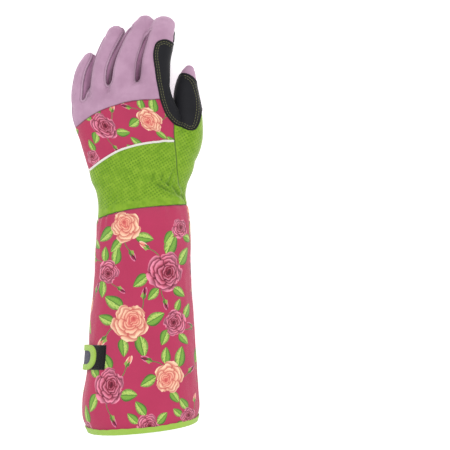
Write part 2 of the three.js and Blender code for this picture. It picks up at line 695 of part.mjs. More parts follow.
// The strap's height off the cuff: on the loop patch at its tip, bowed out past the side, and flat where sewn.
function strapFloor(share) {
  const resting = THREE.MathUtils.lerp(LOOP_PATCH_THICKNESS + 2 * SEAM_GAP, SEAM_GAP, share);
  return resting + STRAP_STAND_OFF * Math.sin(Math.PI * share) ** 2;
}
// Half-width of the strap, inset by a margin, with its tip rounded.
function strapHalf(share, inset) {
  const short = Math.max(1 - share / STRAP_ROUNDED, 0);
  const round = (1 - short ** STRAP_TIP_POWER) ** (1 / STRAP_TIP_POWER);
  return (STRAP_WIDTH / 2 - inset) * Math.max(round, STRAP_TIP_BLUNT);
}
function strapCoreBar(grown) {
  const inset = STRAP_HELD - grown;
  const sink = (STRAP_THICKNESS - STRAP_CORE) / 2 - grown;
  const tip = STRAP.tip + STRAP_HELD_ANGLE - grown;
  return cuffBar(tip, STRAP.sewn + grown, (share) => strapHalf(share, inset),
    (share) => strapFloor(share) + sink, STRAP_CORE + 2 * grown);
}
const strap = () => strapCoreBar(0);
function strapBinding() {
  const whole = cuffBar(STRAP.tip, STRAP.sewn, (share) => strapHalf(share, 0), strapFloor, STRAP_THICKNESS);
  const window = cuffBar(STRAP.tip + STRAP_EDGE_ANGLE, STRAP.sewn + STRAP_WINDOW_PAST,
    (share) => strapHalf(share, STRAP_EDGE), (share) => strapFloor(share) - STRAP_THICKNESS, 3 * STRAP_THICKNESS);
  return whole.subtract(window).subtract(strapCoreBar(SEAM_GAP));
}

// One solid without the crumbs that a cut leaves.
function largest(solid) {
  const bodies = solid.simplify(SMALLEST_DETAIL).decompose();
  return bodies.reduce((best, body) => (body.volume() > best.volume() ? body : best));
}

const PARTS = [
  ["finger_backs", fingerBacks, "#b993ad"],
  ...fingerPairs.map(([finger, next]) =>
    [`fourchette_${finger.name}_${next.name}`, () => fourchette(finger, next), "#7b566c"]),
  ["index_tip_pad", indexTipPad, "#2b2b2d"],
  ["knuckle_panel", knucklePanel, "#be4966"],
  ["piping", piping, "#e8e4d8"],
  ["wrist_back", wristBack, "#7fa82e"],
  ["thumb_gusset", thumbGusset, "#82ab33"],
  ["thumb", thumb, "#b493ac"],
  ["crotch_patch", crotchPatch, "#2b2b2d"],
  ["palm", palm, "#b993ad"],
  ["cuff", cuff, "#be4966"],
  ["hem_binding", hemBinding, "#a4c856"],
  ["loop_patch", loopPatch, "#181513"],
  ["strap", strap, "#37374c"],
  ["strap_binding", strapBinding, "#a5c85f"],
];
const group = new THREE.Group();
for (const [name, build, color] of PARTS) {
  const material = new THREE.MeshStandardMaterial({ color, roughness: 0.85 });
  const mesh = new THREE.Mesh(geometryOf(largest(build())), material);
  mesh.name = name;
  group.add(mesh);
}
// The origin is the middle of the glove's base.
const extent = new THREE.Box3().setFromObject(group);
const middle = extent.getCenter(new THREE.Vector3());
group.children.forEach(({ geometry }) => geometry.translate(-middle.x, -middle.y, -extent.min.z));
export default group;
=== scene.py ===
"""A long rose pruning gauntlet for the left hand, lying palm down."""
import math

import bmesh
import bpy
import numpy as np
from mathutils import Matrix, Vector, noise
from mathutils.bvhtree import BVHTree
from mathutils.kdtree import KDTree


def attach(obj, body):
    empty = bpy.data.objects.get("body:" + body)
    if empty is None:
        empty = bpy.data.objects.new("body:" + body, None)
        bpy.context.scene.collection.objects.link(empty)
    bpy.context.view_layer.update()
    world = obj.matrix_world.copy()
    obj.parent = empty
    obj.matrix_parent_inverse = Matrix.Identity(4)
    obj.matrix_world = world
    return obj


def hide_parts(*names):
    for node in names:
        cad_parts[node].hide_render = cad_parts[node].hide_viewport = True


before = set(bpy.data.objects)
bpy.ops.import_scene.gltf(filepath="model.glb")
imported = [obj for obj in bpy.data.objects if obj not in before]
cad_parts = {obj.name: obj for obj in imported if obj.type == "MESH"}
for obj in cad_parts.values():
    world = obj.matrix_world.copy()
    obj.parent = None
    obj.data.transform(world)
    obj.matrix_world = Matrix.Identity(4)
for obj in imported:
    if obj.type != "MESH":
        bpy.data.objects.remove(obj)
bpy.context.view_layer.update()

# Sizes in millimetres, as the solids have them.
HAND_LENGTH = 188.0
HAND_WIDTH = 97.0
HAND_DEPTH = 33.0
WRIST_WIDTH = 85.0
WRIST_DEPTH = 44.0
CUFF_LENGTH = 222.0
CUFF_WIDTH = 116.0
CUFF_DEPTH = 66.0
FINGER_WIDTH = 26.0
FINGER_DEPTH = 23.0
THUMB_WIDTH = 28.0
THUMB_DEPTH = 25.0
HEM_LIFT = 1.5
SECTION_POWER = 2.25
SECTION_TALL = 0.42  # the height of a usual section, as a share of its width
CENTRE_X = 3.96  # the wrist seam's place in the frame
CENTRE_Y = 16.596

# Body sections: place along, left, right, depth, sag, roll, skew, lean, lift.
CUFF_SECTIONS = (
    (-0.952, -0.442, 0.47, 0.97, 0.08, 0, 0.1, 0.2, 1),
    (-0.91, -0.484, 0.492, 1.0, 0.09, 0, 0.09, 0.18, 1),
    (-0.84, -0.5, 0.49, 1.0, 0.12, 0, 0.04, 0.1, 0.3),
    (-0.76, -0.478, 0.48, 0.98, 0.12, 0, 0, 0.03, 0),
    (-0.665, -0.45, 0.47, 0.96, 0.12, 0, 0, 0, 0),
    (-0.5, -0.429, 0.452, 0.93, 0.12, 0, 0, 0, 0),
    (-0.3, -0.392, 0.43, 0.88, 0.11, 0, 0, 0, 0),
    (-0.13, -0.377, 0.424, 0.83, 0.1, 0, 0, 0, 0),
)
WRIST_SECTIONS = (
    (-0.055, -0.498, 0.57, 1.2, 0.1, 0, 0, 0, 0),
    (-0.01, -0.487, 0.556, 1.12, 0.09, 0, 0, 0, 0),
    (0.03, -0.49, 0.53, 1.04, 0.08, 0, 0, 0, 0),
    (0.062, -0.5, 0.513, 1.0, 0.07, 0, 0, 0, 0),
    (0.095, -0.52, 0.513, 1.0, 0.07, 1, 0, 0, 0),
    (0.13, -0.56, 0.533, 0.99, 0.07, 2, 0, 0, 0),
)
PALM_SECTIONS = (
    (0.2, -0.53, 0.523, 1.28, 0.07, 4, 0, 0, 0),
    (0.28, -0.574, 0.548, 1.24, 0.07, 6, 0, 0, 0),
    (0.36, -0.626, 0.51, 1.17, 0.07, 8, 0, 0, 0),
    (0.43, -0.68, 0.44, 1.1, 0.07, 10.5, 0.02, 0, 0),
    (0.495, -0.708, 0.375, 1.05, 0.07, 13, 0.08, 0, 0),
    (0.55, -0.716, 0.318, 1.0, 0.06, 15, 0.15, 0, 0),
    (0.6, -0.708, 0.288, 0.93, 0.05, 16, 0.24, 0, 0),
    (0.635, -0.655, 0.262, 0.74, 0, 16, 0.28, 0, 0),
    (0.652, -0.52, 0.18, 0.4, 0, 16, 0.3, 0, 0),
)

# Fingers from base to tip: x, y, z, half width, half depth, in the shares that the solids use.
LITTLE = (
    (-0.572, 0.46, 0.52, 0.33, 0.42),
    (-0.602, 0.56, 0.495, 0.372, 0.43),
    (-0.594, 0.65, 0.455, 0.362, 0.41),
    (-0.564, 0.72, 0.425, 0.335, 0.39),
    (-0.524, 0.766, 0.39, 0.285, 0.35),
    (-0.497, 0.794, 0.355, 0.21, 0.25),
    (-0.482, 0.808, 0.33, 0, 0),
)
RING = (
    (-0.42, 0.565, 0.81, 0.388, 0.46),
    (-0.408, 0.655, 0.86, 0.385, 0.45),
    (-0.39, 0.72, 0.88, 0.385, 0.44),
    (-0.33, 0.818, 0.81, 0.375, 0.42),
    (-0.263, 0.893, 0.65, 0.345, 0.38),
    (-0.232, 0.93, 0.54, 0.27, 0.28),
    (-0.22, 0.949, 0.48, 0, 0),
)
MIDDLE = (
    (-0.2, 0.575, 1.1, 0.475, 0.5),
    (-0.181, 0.68, 1.15, 0.51, 0.49),
    (-0.16, 0.742, 1.15, 0.51, 0.48),
    (-0.108, 0.824, 1.09, 0.46, 0.46),
    (-0.04, 0.9, 0.93, 0.4, 0.42),
    (0.034, 0.952, 0.76, 0.342, 0.34),
    (0.08, 0.982, 0.63, 0.25, 0.24),
    (0.1, 0.995, 0.58, 0, 0),
)
INDEX = (
    (0.128, 0.58, 1.27, 0.55, 0.515),
    (0.133, 0.698, 1.32, 0.55, 0.5),
    (0.146, 0.782, 1.31, 0.53, 0.49),
    (0.178, 0.85, 1.23, 0.51, 0.47),
    (0.206, 0.917, 1.06, 0.47, 0.43),
    (0.232, 0.955, 0.9, 0.405, 0.36),
    (0.243, 0.983, 0.79, 0.32, 0.25),
    (0.248, 0.999, 0.74, 0, 0),
)
THUMB = (
    (0.2, 0.12, 0.75, 0.5, 0.5),
    (0.33, 0.235, 0.8, 0.575, 0.6),
    (0.435, 0.33, 0.83, 0.57, 0.6),
    (0.475, 0.43, 0.8, 0.505, 0.57),
    (0.472, 0.51, 0.74, 0.465, 0.53),
    (0.46, 0.58, 0.68, 0.42, 0.49),
    (0.459, 0.635, 0.6, 0.36, 0.44),
    (0.472, 0.688, 0.5, 0.27, 0.35),
    (0.486, 0.724, 0.4, 0.17, 0.24),
    (0.495, 0.744, 0.34, 0, 0),
)
SIDE_SEAMS = ((0.02, 0.3), (0.42, 0.9), (0.8, 1.0))  # where each side strip starts, at its crotch and its tip
CROTCHES = (0.534, 0.634, 0.657)
# The webs that close the clefts from below: x, y, z and reaches each way, in millimetres.
WEBS = ((-3.2, 129, 23, 5, 17, 7), (-29.5, 126, 17.5, 5, 15, 6))

# Seams seen from above, as shares of the hand's width and length.
KNUCKLE_SEAM = ((-0.9, 0.36), (-0.68, 0.416), (-0.56, 0.464), (-0.415, 0.508), (-0.265, 0.536),
                (-0.11, 0.557), (0.04, 0.565), (0.19, 0.568), (0.36, 0.568), (0.7, 0.568))
PIPING_SEAM = ((-0.8, 0.11), (-0.6, 0.172), (-0.515, 0.2), (-0.43, 0.235), (-0.345, 0.265),
               (-0.23, 0.298), (-0.11, 0.32), (0.02, 0.336), (0.17, 0.346), (0.4, 0.352), (0.7, 0.352))
CUFF_SEAM = ((-0.8, -0.1), (-0.445, -0.057), (-0.355, -0.036), (-0.23, -0.018), (-0.11, -0.005),
             (0.09, 0.008), (0.29, 0.016), (0.46, 0.021), (0.8, 0.024))
GUSSET_SEAM = ((0.47, -0.05), (0.46, 0.02), (0.405, 0.09), (0.375, 0.16), (0.362, 0.24), (0.352, 0.3),
               (0.34, 0.352), (0.338, 0.44), (0.338, 0.51), (0.322, 0.56), (0.31, 0.6), (0.306, 0.68),
               (0.335, 0.75), (0.6, 0.79), (0.9, 0.8))
THUMB_ROOT = 0.505
PATCH_WRAP = 8.0  # how far the patch runs down past the side seam
TIP_PAD = {"left": 0.08, "right": 0.42, "from": 0.835}  # shares of the hand's width and length
TIP_PAD_SHOWS = (0.87, 0.06)  # the place along the hand where it comes up the side, and how far to each way
TIP_PAD_RISES = 5.0
TIP_PAD_DROPS = 3.5
STRIP_OPENS = (40.0, 17.0, 22.0)  # over this length from its crotch each side strip widens
STRIP_CURVES = (1.2, 0.9, 0.9)  # how slowly it opens
STRIP_ROOTS = (0.15, 0.4, 0.4)  # where its crotch lies between the two fingers
STRIP_RISES = (0.1, 0.55, 0.15)  # how far up the next finger's side it goes
STRIP_SHORT_OF_TIP = 9.0  # how far it stops short of the longer finger's tip
STRIP_OVER_SEAM = 4.0
STRIP_DROPS = 0.6  # how far down the fingers' sides it goes, in their half depths
DIGIT_EDGE = 0.9  # where a finger meets its neighbour, in its half widths
UPPER_WRAP = 6.0  # how far the cloth and the knit of the back run down past the side seam
PATCH_OUTLINE = (
    (0.375, 0.7), (0.41, 0.702), (0.445, 0.704), (0.49, 0.696), (0.535, 0.676), (0.565, 0.652),
    (0.584, 0.62), (0.604, 0.58), (0.61, 0.52), (0.597, 0.472), (0.58, 0.434), (0.555, 0.412),
    (0.518, 0.402), (0.47, 0.404), (0.423, 0.417), (0.354, 0.43), (0.3, 0.453), (0.253, 0.482),
    (0.222, 0.517), (0.19, 0.57), (0.176, 0.608), (0.155, 0.66), (0.14, 0.72), (0.125, 0.772),
    (0.124, 0.812), (0.144, 0.856), (0.185, 0.874), (0.237, 0.88), (0.283, 0.874), (0.34, 0.855),
    (0.385, 0.83),
)

GUSSET_AT_PIPING = 0.34
GUSSET_ACROSS = (0.8, 0, -0.6)  # the gusset slopes down this way
PIPING_STARTS = -0.61

# Creases pressed into the knit by the thumb: both ends as shares of the hand, depth and half-width.
CREASES = (
    (0.43, 0.052, 0.12, 0.136, 1.7, 1.5),
    (0.42, 0.058, 0.205, 0.153, 1.8, 1.5),
    (0.4, 0.07, 0.285, 0.145, 1.5, 1.4),
    (0.338, 0.12, 0.352, 0.225, 0.8, 1.3),
    (0.262, 0.105, 0.342, 0.215, 1.2, 1.4),
    (0.185, 0.118, 0.24, 0.2, 1.1, 1.4),
    (0.095, 0.115, 0.145, 0.2, 0.9, 1.4),
    (0.43, 0.045, 0.41, 0.13, 1.0, 1.6),
    (-0.27, 0.02, -0.24, 0.09, 0.5, 1.8),
)
CREASE_RIDGE = 0.45  # how high the cloth stands beside a crease, as a share of its depth
UNDERSIDE_FULLER = 0.2  # how much wider a finger is below its middle
SEAM_DIP = (0.65, 1.2)  # how far a seam is drawn in, and over which distance
PUFF = (0.35, 6)  # how far a panel stands out between its seams
UNEVEN = (0.55, 0.045)  # slow unevenness of the leather and knit: how far, and waves a millimetre
PUCKERS = (0.35, 4, 9)  # at the elastic: depth, distance from the cuff and reach
PLAIN_BAND = 8.0  # the knit beside the cuff has no dimples
ROLL_STARTS = 5.0  # the finger backs have rolled edges from this far above the printed panel

# The cuff and its trim.
CUFF_CLOTH = 2.0
HEM_INSIDE = 0.4  # how far the cloth's edge lies inside the tape
SEAM_GAP = 0.3
BINDING_WIDTH = 5.6
BINDING_THICKNESS = 1.2
PATCH_THICKNESS = 1.2
PATCH_RIM = (0.45, 1.2, 1.0)  # the low ridge along its edge: height, distance from the edge and reach
PATCH_EDGE = 0.9  # over which its edge is rounded down
PATCH_STANDS_OFF = 0.25
STITCH_ROWS = (2.4, 4.6)  # how far inside its edge each row of stitches runs
PIPING_DIAMETER = 2.3
PIPING_PROUD = 0.32  # how far its middle stands off the cloth, in diameters
STRAP_WIDTH = 24.5
STRAP_EDGE = 5.6
STRAP_THICKNESS = 2.4
STRAP_STAND_OFF = 1.2
STRAP_ALONG = 0.657
STRAP_TIP, STRAP_SEWN = 141, 213  # degrees round the cuff
STRAP_REACH = 11.5  # over which its tip is rounded
LOOP_WIDTH = 24.0
LOOP_THICKNESS = 1.2
LOOP_FROM, LOOP_TO = 129, 158
LOOP_CELLS = 60  # points along each side of the patch
SIDE_SEAM = math.radians(9)  # the seam along the thumb side of the cuff

# The print: repeats in millimetres. A bloom has x, y, radius, turn and kind (1 is peach).
REPEAT = (176.0, 236.0)
BLOOMS = (
    (22, -62, 19.5, 20, 0), (-18, -18, 15.5, 140, 1), (38, -20, 10, 75, 0), (-36, -62, 12, 310, 0),
    (-12, -112, 18.5, 75, 1), (34, -112, 13, 200, 0), (-32, -172, 16, 45, 0), (28, -164, 15, 250, 1),
    (6, -206, 11, 10, 0), (-60, -210, 9.5, 160, 0), (50, -204, 10, 120, 0), (-72, -96, 15, 30, 1),
    (-70, -30, 13, 280, 0), (78, -56, 16, 60, 1), (76, -128, 15, 190, 0), (-92, -136, 12, 100, 1),
)
# Leaves round a bloom: its number, the direction of the first, and half-lengths a step apart.
SPRAYS = (
    (0, 35, (10, 11.5)), (0, 200, (9, 7.5)), (0, 308, (8,)), (1, 200, (10, 8)), (1, 330, (9,)),
    (2, 215, (8,)), (2, 320, (7,)), (3, 60, (9, 7.5)), (3, 250, (8.5,)), (4, 130, (11, 9)),
    (4, 10, (10,)), (4, 255, (9, 10.5)), (5, 40, (8, 6.5)), (5, 230, (8,)), (5, 300, (7.5,)),
    (6, 100, (10, 8)), (6, 340, (8.5,)), (6, 220, (8,)), (7, 60, (10, 8)), (7, 190, (8.5,)),
    (7, 290, (7,)), (8, 110, (7.5, 6.5)), (8, 20, (7,)), (9, 80, (7.5,)), (9, 330, (7,)),
    (10, 110, (7.5, 6)), (10, 210, (6.5,)), (11, 100, (9.5, 8)), (11, 290, (9,)), (11, 190, (8,)),
    (12, 300, (8.5, 7)), (12, 120, (8,)), (13, 120, (9.5,)), (13, 230, (9, 7.5)), (13, 350, (8,)),
    (14, 80, (9,)), (14, 240, (9, 8)), (15, 60, (8.5,)), (15, 240, (8, 7)),
)
SPRAY_STEP = 42  # degrees
LEAF_TILTS = (14, -20, 8)
LEAF_STALK = 0.72  # how far a leaf's middle lies out from its bloom, in its half-lengths
# Buds on stems from under a bloom: its number, the bud's direction from it, radius and kind.
BUDS = (
    (0, 130, 5.5, 1), (0, 272, 5, 0), (1, 285, 5.5, 0), (3, 150, 5, 1), (3, 310, 4.5, 0), (4, 65, 5.5, 0),
    (4, 213, 6.5, 1), (5, 350, 5, 0), (6, 50, 5.5, 1), (6, 280, 5, 0), (7, 145, 5.5, 0), (7, 15, 5, 0),
    (8, 205, 4.5, 1), (10, 60, 4.5, 1), (11, 40, 5.5, 0), (12, 50, 5, 1), (12, 220, 5.5, 0), (13, 60, 5, 0),
    (14, 20, 5.5, 1), (14, 150, 5, 0), (15, 150, 5, 0),
)
STEM = 2.6  # how far a bud stands out from its bloom, in its own radii
PANEL_SCALE = 1.25  # the print is this much smaller on the knuckle panel
PANEL_PRINT = (0.0, -272.0)  # where the knuckle panel is cut out of the cloth

KNIT_PITCH = 0.0028  # metres between its rows of dimples
MM = 0.001
SKIN_CELL = 0.9  # size of the skin's facets
LEATHER = 1.2


# Curves through the tables

def smooth_at(keys, values, wanted):
    """Cubic curve through the rows of values at rising keys, read at the wanted places."""
    keys = np.asarray(keys, float)
    values = np.asarray(values, float)
    wanted = np.clip(np.asarray(wanted, float), keys[0], keys[-1])
    slopes = np.gradient(values, keys, axis=0)
    left = np.clip(np.searchsorted(keys, wanted, side="right") - 1, 0, len(keys) - 2)
    gap = (keys[left + 1] - keys[left])[..., None]
    t = (wanted - keys[left])[..., None] / gap
    eased = t**2 * (3 - 2 * t)
    bend = gap * t * (1 - t) * ((1 - t) * slopes[left] - t * slopes[left + 1])
    return values[left] * (1 - eased) + values[left + 1] * eased + bend


def body_table():
    """Body rows in millimetres: y, x, half width, half depth, sag, roll, skew, lean, lift."""
    rows = []
    parts = ((CUFF_SECTIONS, CUFF_WIDTH, CUFF_DEPTH, CUFF_LENGTH),
             (WRIST_SECTIONS, WRIST_WIDTH, WRIST_DEPTH, HAND_LENGTH),
             (PALM_SECTIONS, HAND_WIDTH, HAND_DEPTH, HAND_LENGTH))
    for sections, width, depth, length in parts:
        for along, left, right, tall, sag, roll, skew, lean, lift in sections:
            high = tall * depth
            rows.append((along * length, (left + right) / 2 * width, (right - left) / 2 * width,
                         high * (1 + sag) / 2, sag * high, math.radians(roll), skew, lean, lift * HEM_LIFT))
    return np.array(rows)


BODY = body_table()
HEM = BODY[0, 0]


def body_row(y):
    return smooth_at(BODY[:, 0], BODY[:, 1:], np.atleast_1d(y))


def centre_height(rows):
    wide, deep, sag, roll, lift = rows[:, 1], rows[:, 2], rows[:, 3], rows[:, 4], rows[:, 7]
    return lift + np.hypot(wide * np.sin(roll), deep * np.cos(roll)) - sag


def body_points(y, angle, offset=0.0):
    """Points on the body's skin at places along the hand and angles round it, in millimetres."""
    y, angle, offset = np.broadcast_arrays(np.asarray(y, float), angle, offset)
    y, angle, offset = y.ravel(), angle.ravel(), offset.ravel()
    rows = body_row(y)
    x, wide, deep, _, roll, skew, lean, lift = rows.T
    power = 2 / SECTION_POWER
    c, s = np.cos(angle), np.sin(angle)
    across = np.sign(c) * np.abs(c) ** power * (wide + offset)
    up = np.sign(s) * np.abs(s) ** power * (deep + offset)
    dx = across * np.cos(roll) - up * np.sin(roll)
    z = centre_height(rows) + across * np.sin(roll) + up * np.cos(roll)
    table = np.maximum(lift - offset, 0)
    return np.stack([x + dx, y + skew * dx - lean * up, np.maximum(z, table)], axis=-1)


def digit_table(rows, width, depth):
    table = np.array(rows, float)
    return table[:, [1, 0, 2, 3, 4]] * (HAND_LENGTH, HAND_WIDTH, depth, width, depth)


FINGERS = [digit_table(rows, FINGER_WIDTH, FINGER_DEPTH) for rows in (LITTLE, RING, MIDDLE, INDEX)]
DIGITS = FINGERS + [digit_table(THUMB, THUMB_WIDTH, THUMB_DEPTH)]


def digit_row(table, y):
    return smooth_at(table[:, 0], table[:, 1:], np.atleast_1d(y))


def seam_y(seam, x):
    """Height along the hand of a seam that crosses it, over places x in millimetres."""
    points = np.array(seam) * (HAND_WIDTH, HAND_LENGTH)
    return smooth_at(points[:, 0], points[:, 1:], x)[..., 0]


def gusset_x(y):
    points = np.array(GUSSET_SEAM) * (HAND_WIDTH, HAND_LENGTH)
    return smooth_at(points[:, 1], points[:, :1], y)[..., 0]


def closed_curve(points, count):
    """A smooth closed curve through points, with evenly spaced parameters."""
    place = np.arange(count) / count * len(points)
    before = place.astype(int)
    t = (place - before)[:, None]
    a, b, c, d = (np.roll(points, shift, axis=0)[before] for shift in (1, 0, -1, -2))
    return (2 * b + (c - a) * t + (2 * a - 5 * b + 4 * c - d) * t**2 + (3 * b - a - 3 * c + d) * t**3) / 2


def noise_at(places):
    """Smooth noise from -1 to 1 at each place."""
    return np.array([noise.noise(Vector(place)) for place in places])


def lengths_along(line):
    """Distance from the start of a line to each of its points."""
    return np.concatenate([[0], np.cumsum(np.linalg.norm(np.diff(line, axis=0), axis=1))])


def unit(vectors):
    return vectors / np.linalg.norm(vectors, axis=1)[:, None]


# Mesh helpers

def to_frame(points):
    """Millimetres from the wrist seam to metres in the frame of the solids."""
    return (np.asarray(points, float) + (CENTRE_X, CENTRE_Y, 0)) * MM


def new_piece(name, points, faces):
    """A mesh object from points in millimetres."""
    mesh = bpy.data.meshes.new(name)
    mesh.from_pydata(to_frame(points).tolist(), [], [tuple(map(int, face)) for face in faces])
    mesh.validate()
    mesh.update()
    piece = bpy.data.objects.new(name, mesh)
    bpy.context.scene.collection.objects.link(piece)
    mesh.polygons.foreach_set("use_smooth", [True] * len(mesh.polygons))
    return piece


def select_only(*pieces):
    bpy.ops.object.select_all(action="DESELECT")
    for piece in pieces:
        piece.select_set(True)
    bpy.context.view_layer.objects.active = pieces[0]


def apply_modifier(piece, kind, **settings):
    select_only(piece)
    modifier = piece.modifiers.new(kind.lower(), kind)
    for key, value in settings.items():
        setattr(modifier, key, value)
    bpy.ops.object.modifier_apply(modifier=modifier.name)


def point_outwards(piece):
    mesh = bmesh.new()
    mesh.from_mesh(piece.data)
    bmesh.ops.recalc_face_normals(mesh, faces=mesh.faces)
    mesh.to_mesh(piece.data)
    mesh.free()


def grid_faces(rows, sides, closed=True):
    faces = []
    for row in range(rows - 1):
        for side in range(sides if closed else sides - 1):
            after = (side + 1) % sides
            faces.append((row * sides + side, row * sides + after,
                          (row + 1) * sides + after, (row + 1) * sides + side))
    return faces


def two_sided(rows, sides, closed=True):
    """The faces of a grid and, turned over, those of a second one behind it."""
    shell = np.array(grid_faces(rows, sides, closed))
    return np.concatenate([shell, shell[:, ::-1] + rows * sides])


def loft(name, rings):
    """A closed solid skinned over rings of equally many points."""
    sides = len(rings[0])
    points = np.concatenate(rings)
    faces = grid_faces(len(rings), sides)
    hubs = [rings[0].mean(axis=0), rings[-1].mean(axis=0)]
    first = len(points)
    last_row = (len(rings) - 1) * sides
    for side in range(sides):
        after = (side + 1) % sides
        faces.append((first, after, side))
        faces.append((first + 1, last_row + side, last_row + after))
    piece = new_piece(name, np.vstack([points, hubs]), faces)
    point_outwards(piece)
    return piece


def numbers_of(piece):
    """Points of a piece in millimetres from the wrist seam, and its faces."""
    mesh = piece.data
    points = np.empty(len(mesh.vertices) * 3)
    mesh.vertices.foreach_get("co", points)
    points = points.reshape(-1, 3) / MM - (CENTRE_X, CENTRE_Y, 0)
    return points, [tuple(face.vertices) for face in mesh.polygons]


# The skin of the hand

FORM_STEP = 2.0  # between the rings of the rough form
FORM_STARTS = -34  # inside the cuff


def digit_rings(table):
    """Rings round a finger or thumb, square to its middle line."""
    sides = 40
    ys = np.unique(np.concatenate([np.arange(table[0, 0], table[-1, 0], FORM_STEP), table[:, 0]]))
    rows = digit_row(table, ys)
    centres = np.column_stack([rows[:, 0], ys, rows[:, 1]])
    ahead = unit(np.gradient(centres, axis=0))
    across = unit(np.cross(ahead, (0, 0, 1)))
    up = np.cross(across, ahead)
    tip, end = table[-2, 0], table[-1, 0]
    angles = np.linspace(0, 2 * math.pi, sides, endpoint=False)
    below = np.clip(-np.sin(angles), 0, 1) ** 0.7
    rings = []
    for i, y in enumerate(ys):
        wide, deep = rows[i, 2:4]
        if y > tip:
            wide, deep = table[-2, 3:5] * math.sqrt(max(1 - ((y - tip) / (end - tip)) ** 2, 0))
        wide, deep = max(wide, 0.05), max(deep, 0.05)
        full = wide * (1 + UNDERSIDE_FULLER * below * min(deep / 6, 1))
        ring = centres[i] + np.outer(np.cos(angles) * full, across[i])
        ring += np.outer(np.sin(angles) * deep, up[i])
        ring[:, 2] = np.maximum(ring[:, 2], 0)
        rings.append(ring)
    return rings


def hand_surface():
    """Palm, fingers and thumb as one fine closed surface of even quads."""
    angles = np.linspace(0, 2 * math.pi, 96, endpoint=False)
    ys = np.arange(FORM_STARTS, PALM_SECTIONS[-1][0] * HAND_LENGTH + 0.5, FORM_STEP)
    parts = [loft("palm_form", [body_points(y, angles) for y in ys])]
    parts += [loft("digit_form", digit_rings(table)) for table in DIGITS]
    for x, y, z, *reach in WEBS:
        bpy.ops.mesh.primitive_uv_sphere_add(location=to_frame((x, y, z)), scale=np.multiply(reach, MM))
        bpy.ops.object.transform_apply(location=True, rotation=True, scale=True)
        parts.append(bpy.context.view_layer.objects.active)
    select_only(*parts)
    bpy.ops.object.join()
    hand = bpy.context.view_layer.objects.active
    apply_modifier(hand, "REMESH", mode="VOXEL", voxel_size=SKIN_CELL * MM, use_smooth_shade=True)
    apply_modifier(hand, "SMOOTH", factor=0.5, iterations=6)
    points, faces = numbers_of(hand)
    bpy.data.objects.remove(hand)
    return points, np.array([face for face in faces if len(face) == 4])


def parting_height(x, y):
    """Height of the side seam between the back and the palm."""
    body = body_row(y)
    middle = centre_height(body)
    places, heights = [], []
    for table in DIGITS:
        row = digit_row(table, y)
        in_finger = np.clip((y - table[0, 0]) / 8, 0, 1)
        flat = middle + np.tan(body[:, 4]) * (row[:, 0] - body[:, 0])
        places.append(row[:, 0])
        heights.append(flat + (row[:, 1] - flat) * in_finger)
    height = heights[0].copy()
    for i in range(len(DIGITS) - 1):
        t = np.clip((x - places[i]) / np.maximum(places[i + 1] - places[i], 1), 0, 1)
        height = np.where(x > places[i], heights[i] + (heights[i + 1] - heights[i]) * t, height)
    return height


def in_side_strip(i, x, y, z):
    """Whether places lie in the strip between finger i and the next one, which narrows to the crotch."""
    low, high = digit_row(FINGERS[i], y), digit_row(FINGERS[i + 1], y)
    low_deep, high_deep = FINGERS[i][1, 4], FINGERS[i + 1][1, 4]
    crotch = CROTCHES[i] * HAND_LENGTH
    reach = np.clip((y - crotch) / (FINGERS[i][-1, 0] - crotch), 0, 1) ** 2
    left = low[:, 0] + (SIDE_SEAMS[i][0] * (1 - reach) + SIDE_SEAMS[i][1] * reach) * low[:, 2]
    opened = np.clip((y - crotch) / STRIP_OPENS[i], 0, 1) ** STRIP_CURVES[i]
    right = high[:, 0] - 0.2 * FINGERS[i + 1][1, 3]
    edge = high[:, 0] - DIGIT_EDGE * high[:, 2]
    root = left + STRIP_ROOTS[i] * (edge - left)
    left = root + (left - root) * opened
    right = root + (right - root) * opened
    t = np.clip((x - left) / np.maximum(np.minimum(edge, right) - left, 1), 0, 1)
    top = (low[:, 1] + low_deep + STRIP_OVER_SEAM) * (1 - t)
    top += (high[:, 1] + STRIP_RISES[i] * high_deep) * t
    bottom = (low[:, 1] - STRIP_DROPS * low_deep) * (1 - t)
    bottom += (high[:, 1] - STRIP_DROPS * high_deep) * t
    tip = max(FINGERS[i][-1, 0], FINGERS[i + 1][-1, 0]) - STRIP_SHORT_OF_TIP
    return (x > left) & (x < right) & (z > bottom) & (z < top) & (y > crotch) & (y < tip)


def cleft_shade_share(i, points):
    """How much painted shade falls on places on the side strip beside finger i, from 0 to 1: more towards the
    next finger and towards the crotch, deep in the cleft.
    """
    x, y = points[:, :2].T
    low, high = digit_row(FINGERS[i], y), digit_row(FINGERS[i + 1], y)
    left = low[:, 0] + SIDE_SEAMS[i][0] * low[:, 2]
    edge = high[:, 0] - DIGIT_EDGE * high[:, 2]
    across = np.clip((x - left) / np.maximum(edge - left, 1), 0, 1)
    tip = min(FINGERS[i][-1, 0], FINGERS[i + 1][-1, 0])
    ahead = np.clip((tip - y) / (tip - CROTCHES[i] * HAND_LENGTH), 0, 1)
    at_crotch = np.clip((ahead - 0.7) / 0.3, 0, 1)
    return np.clip(across**1.6 * (0.3 + 0.7 * ahead) + 0.5 * at_crotch, 0, 1)


PANELS = ("finger_backs", "knuckle_panel", "wrist_back", "thumb_gusset", "thumb", "palm",
          "fourchette_little_ring", "fourchette_ring_middle", "fourchette_middle_index")
FIRST_STRIP = PANELS.index("fourchette_little_ring")


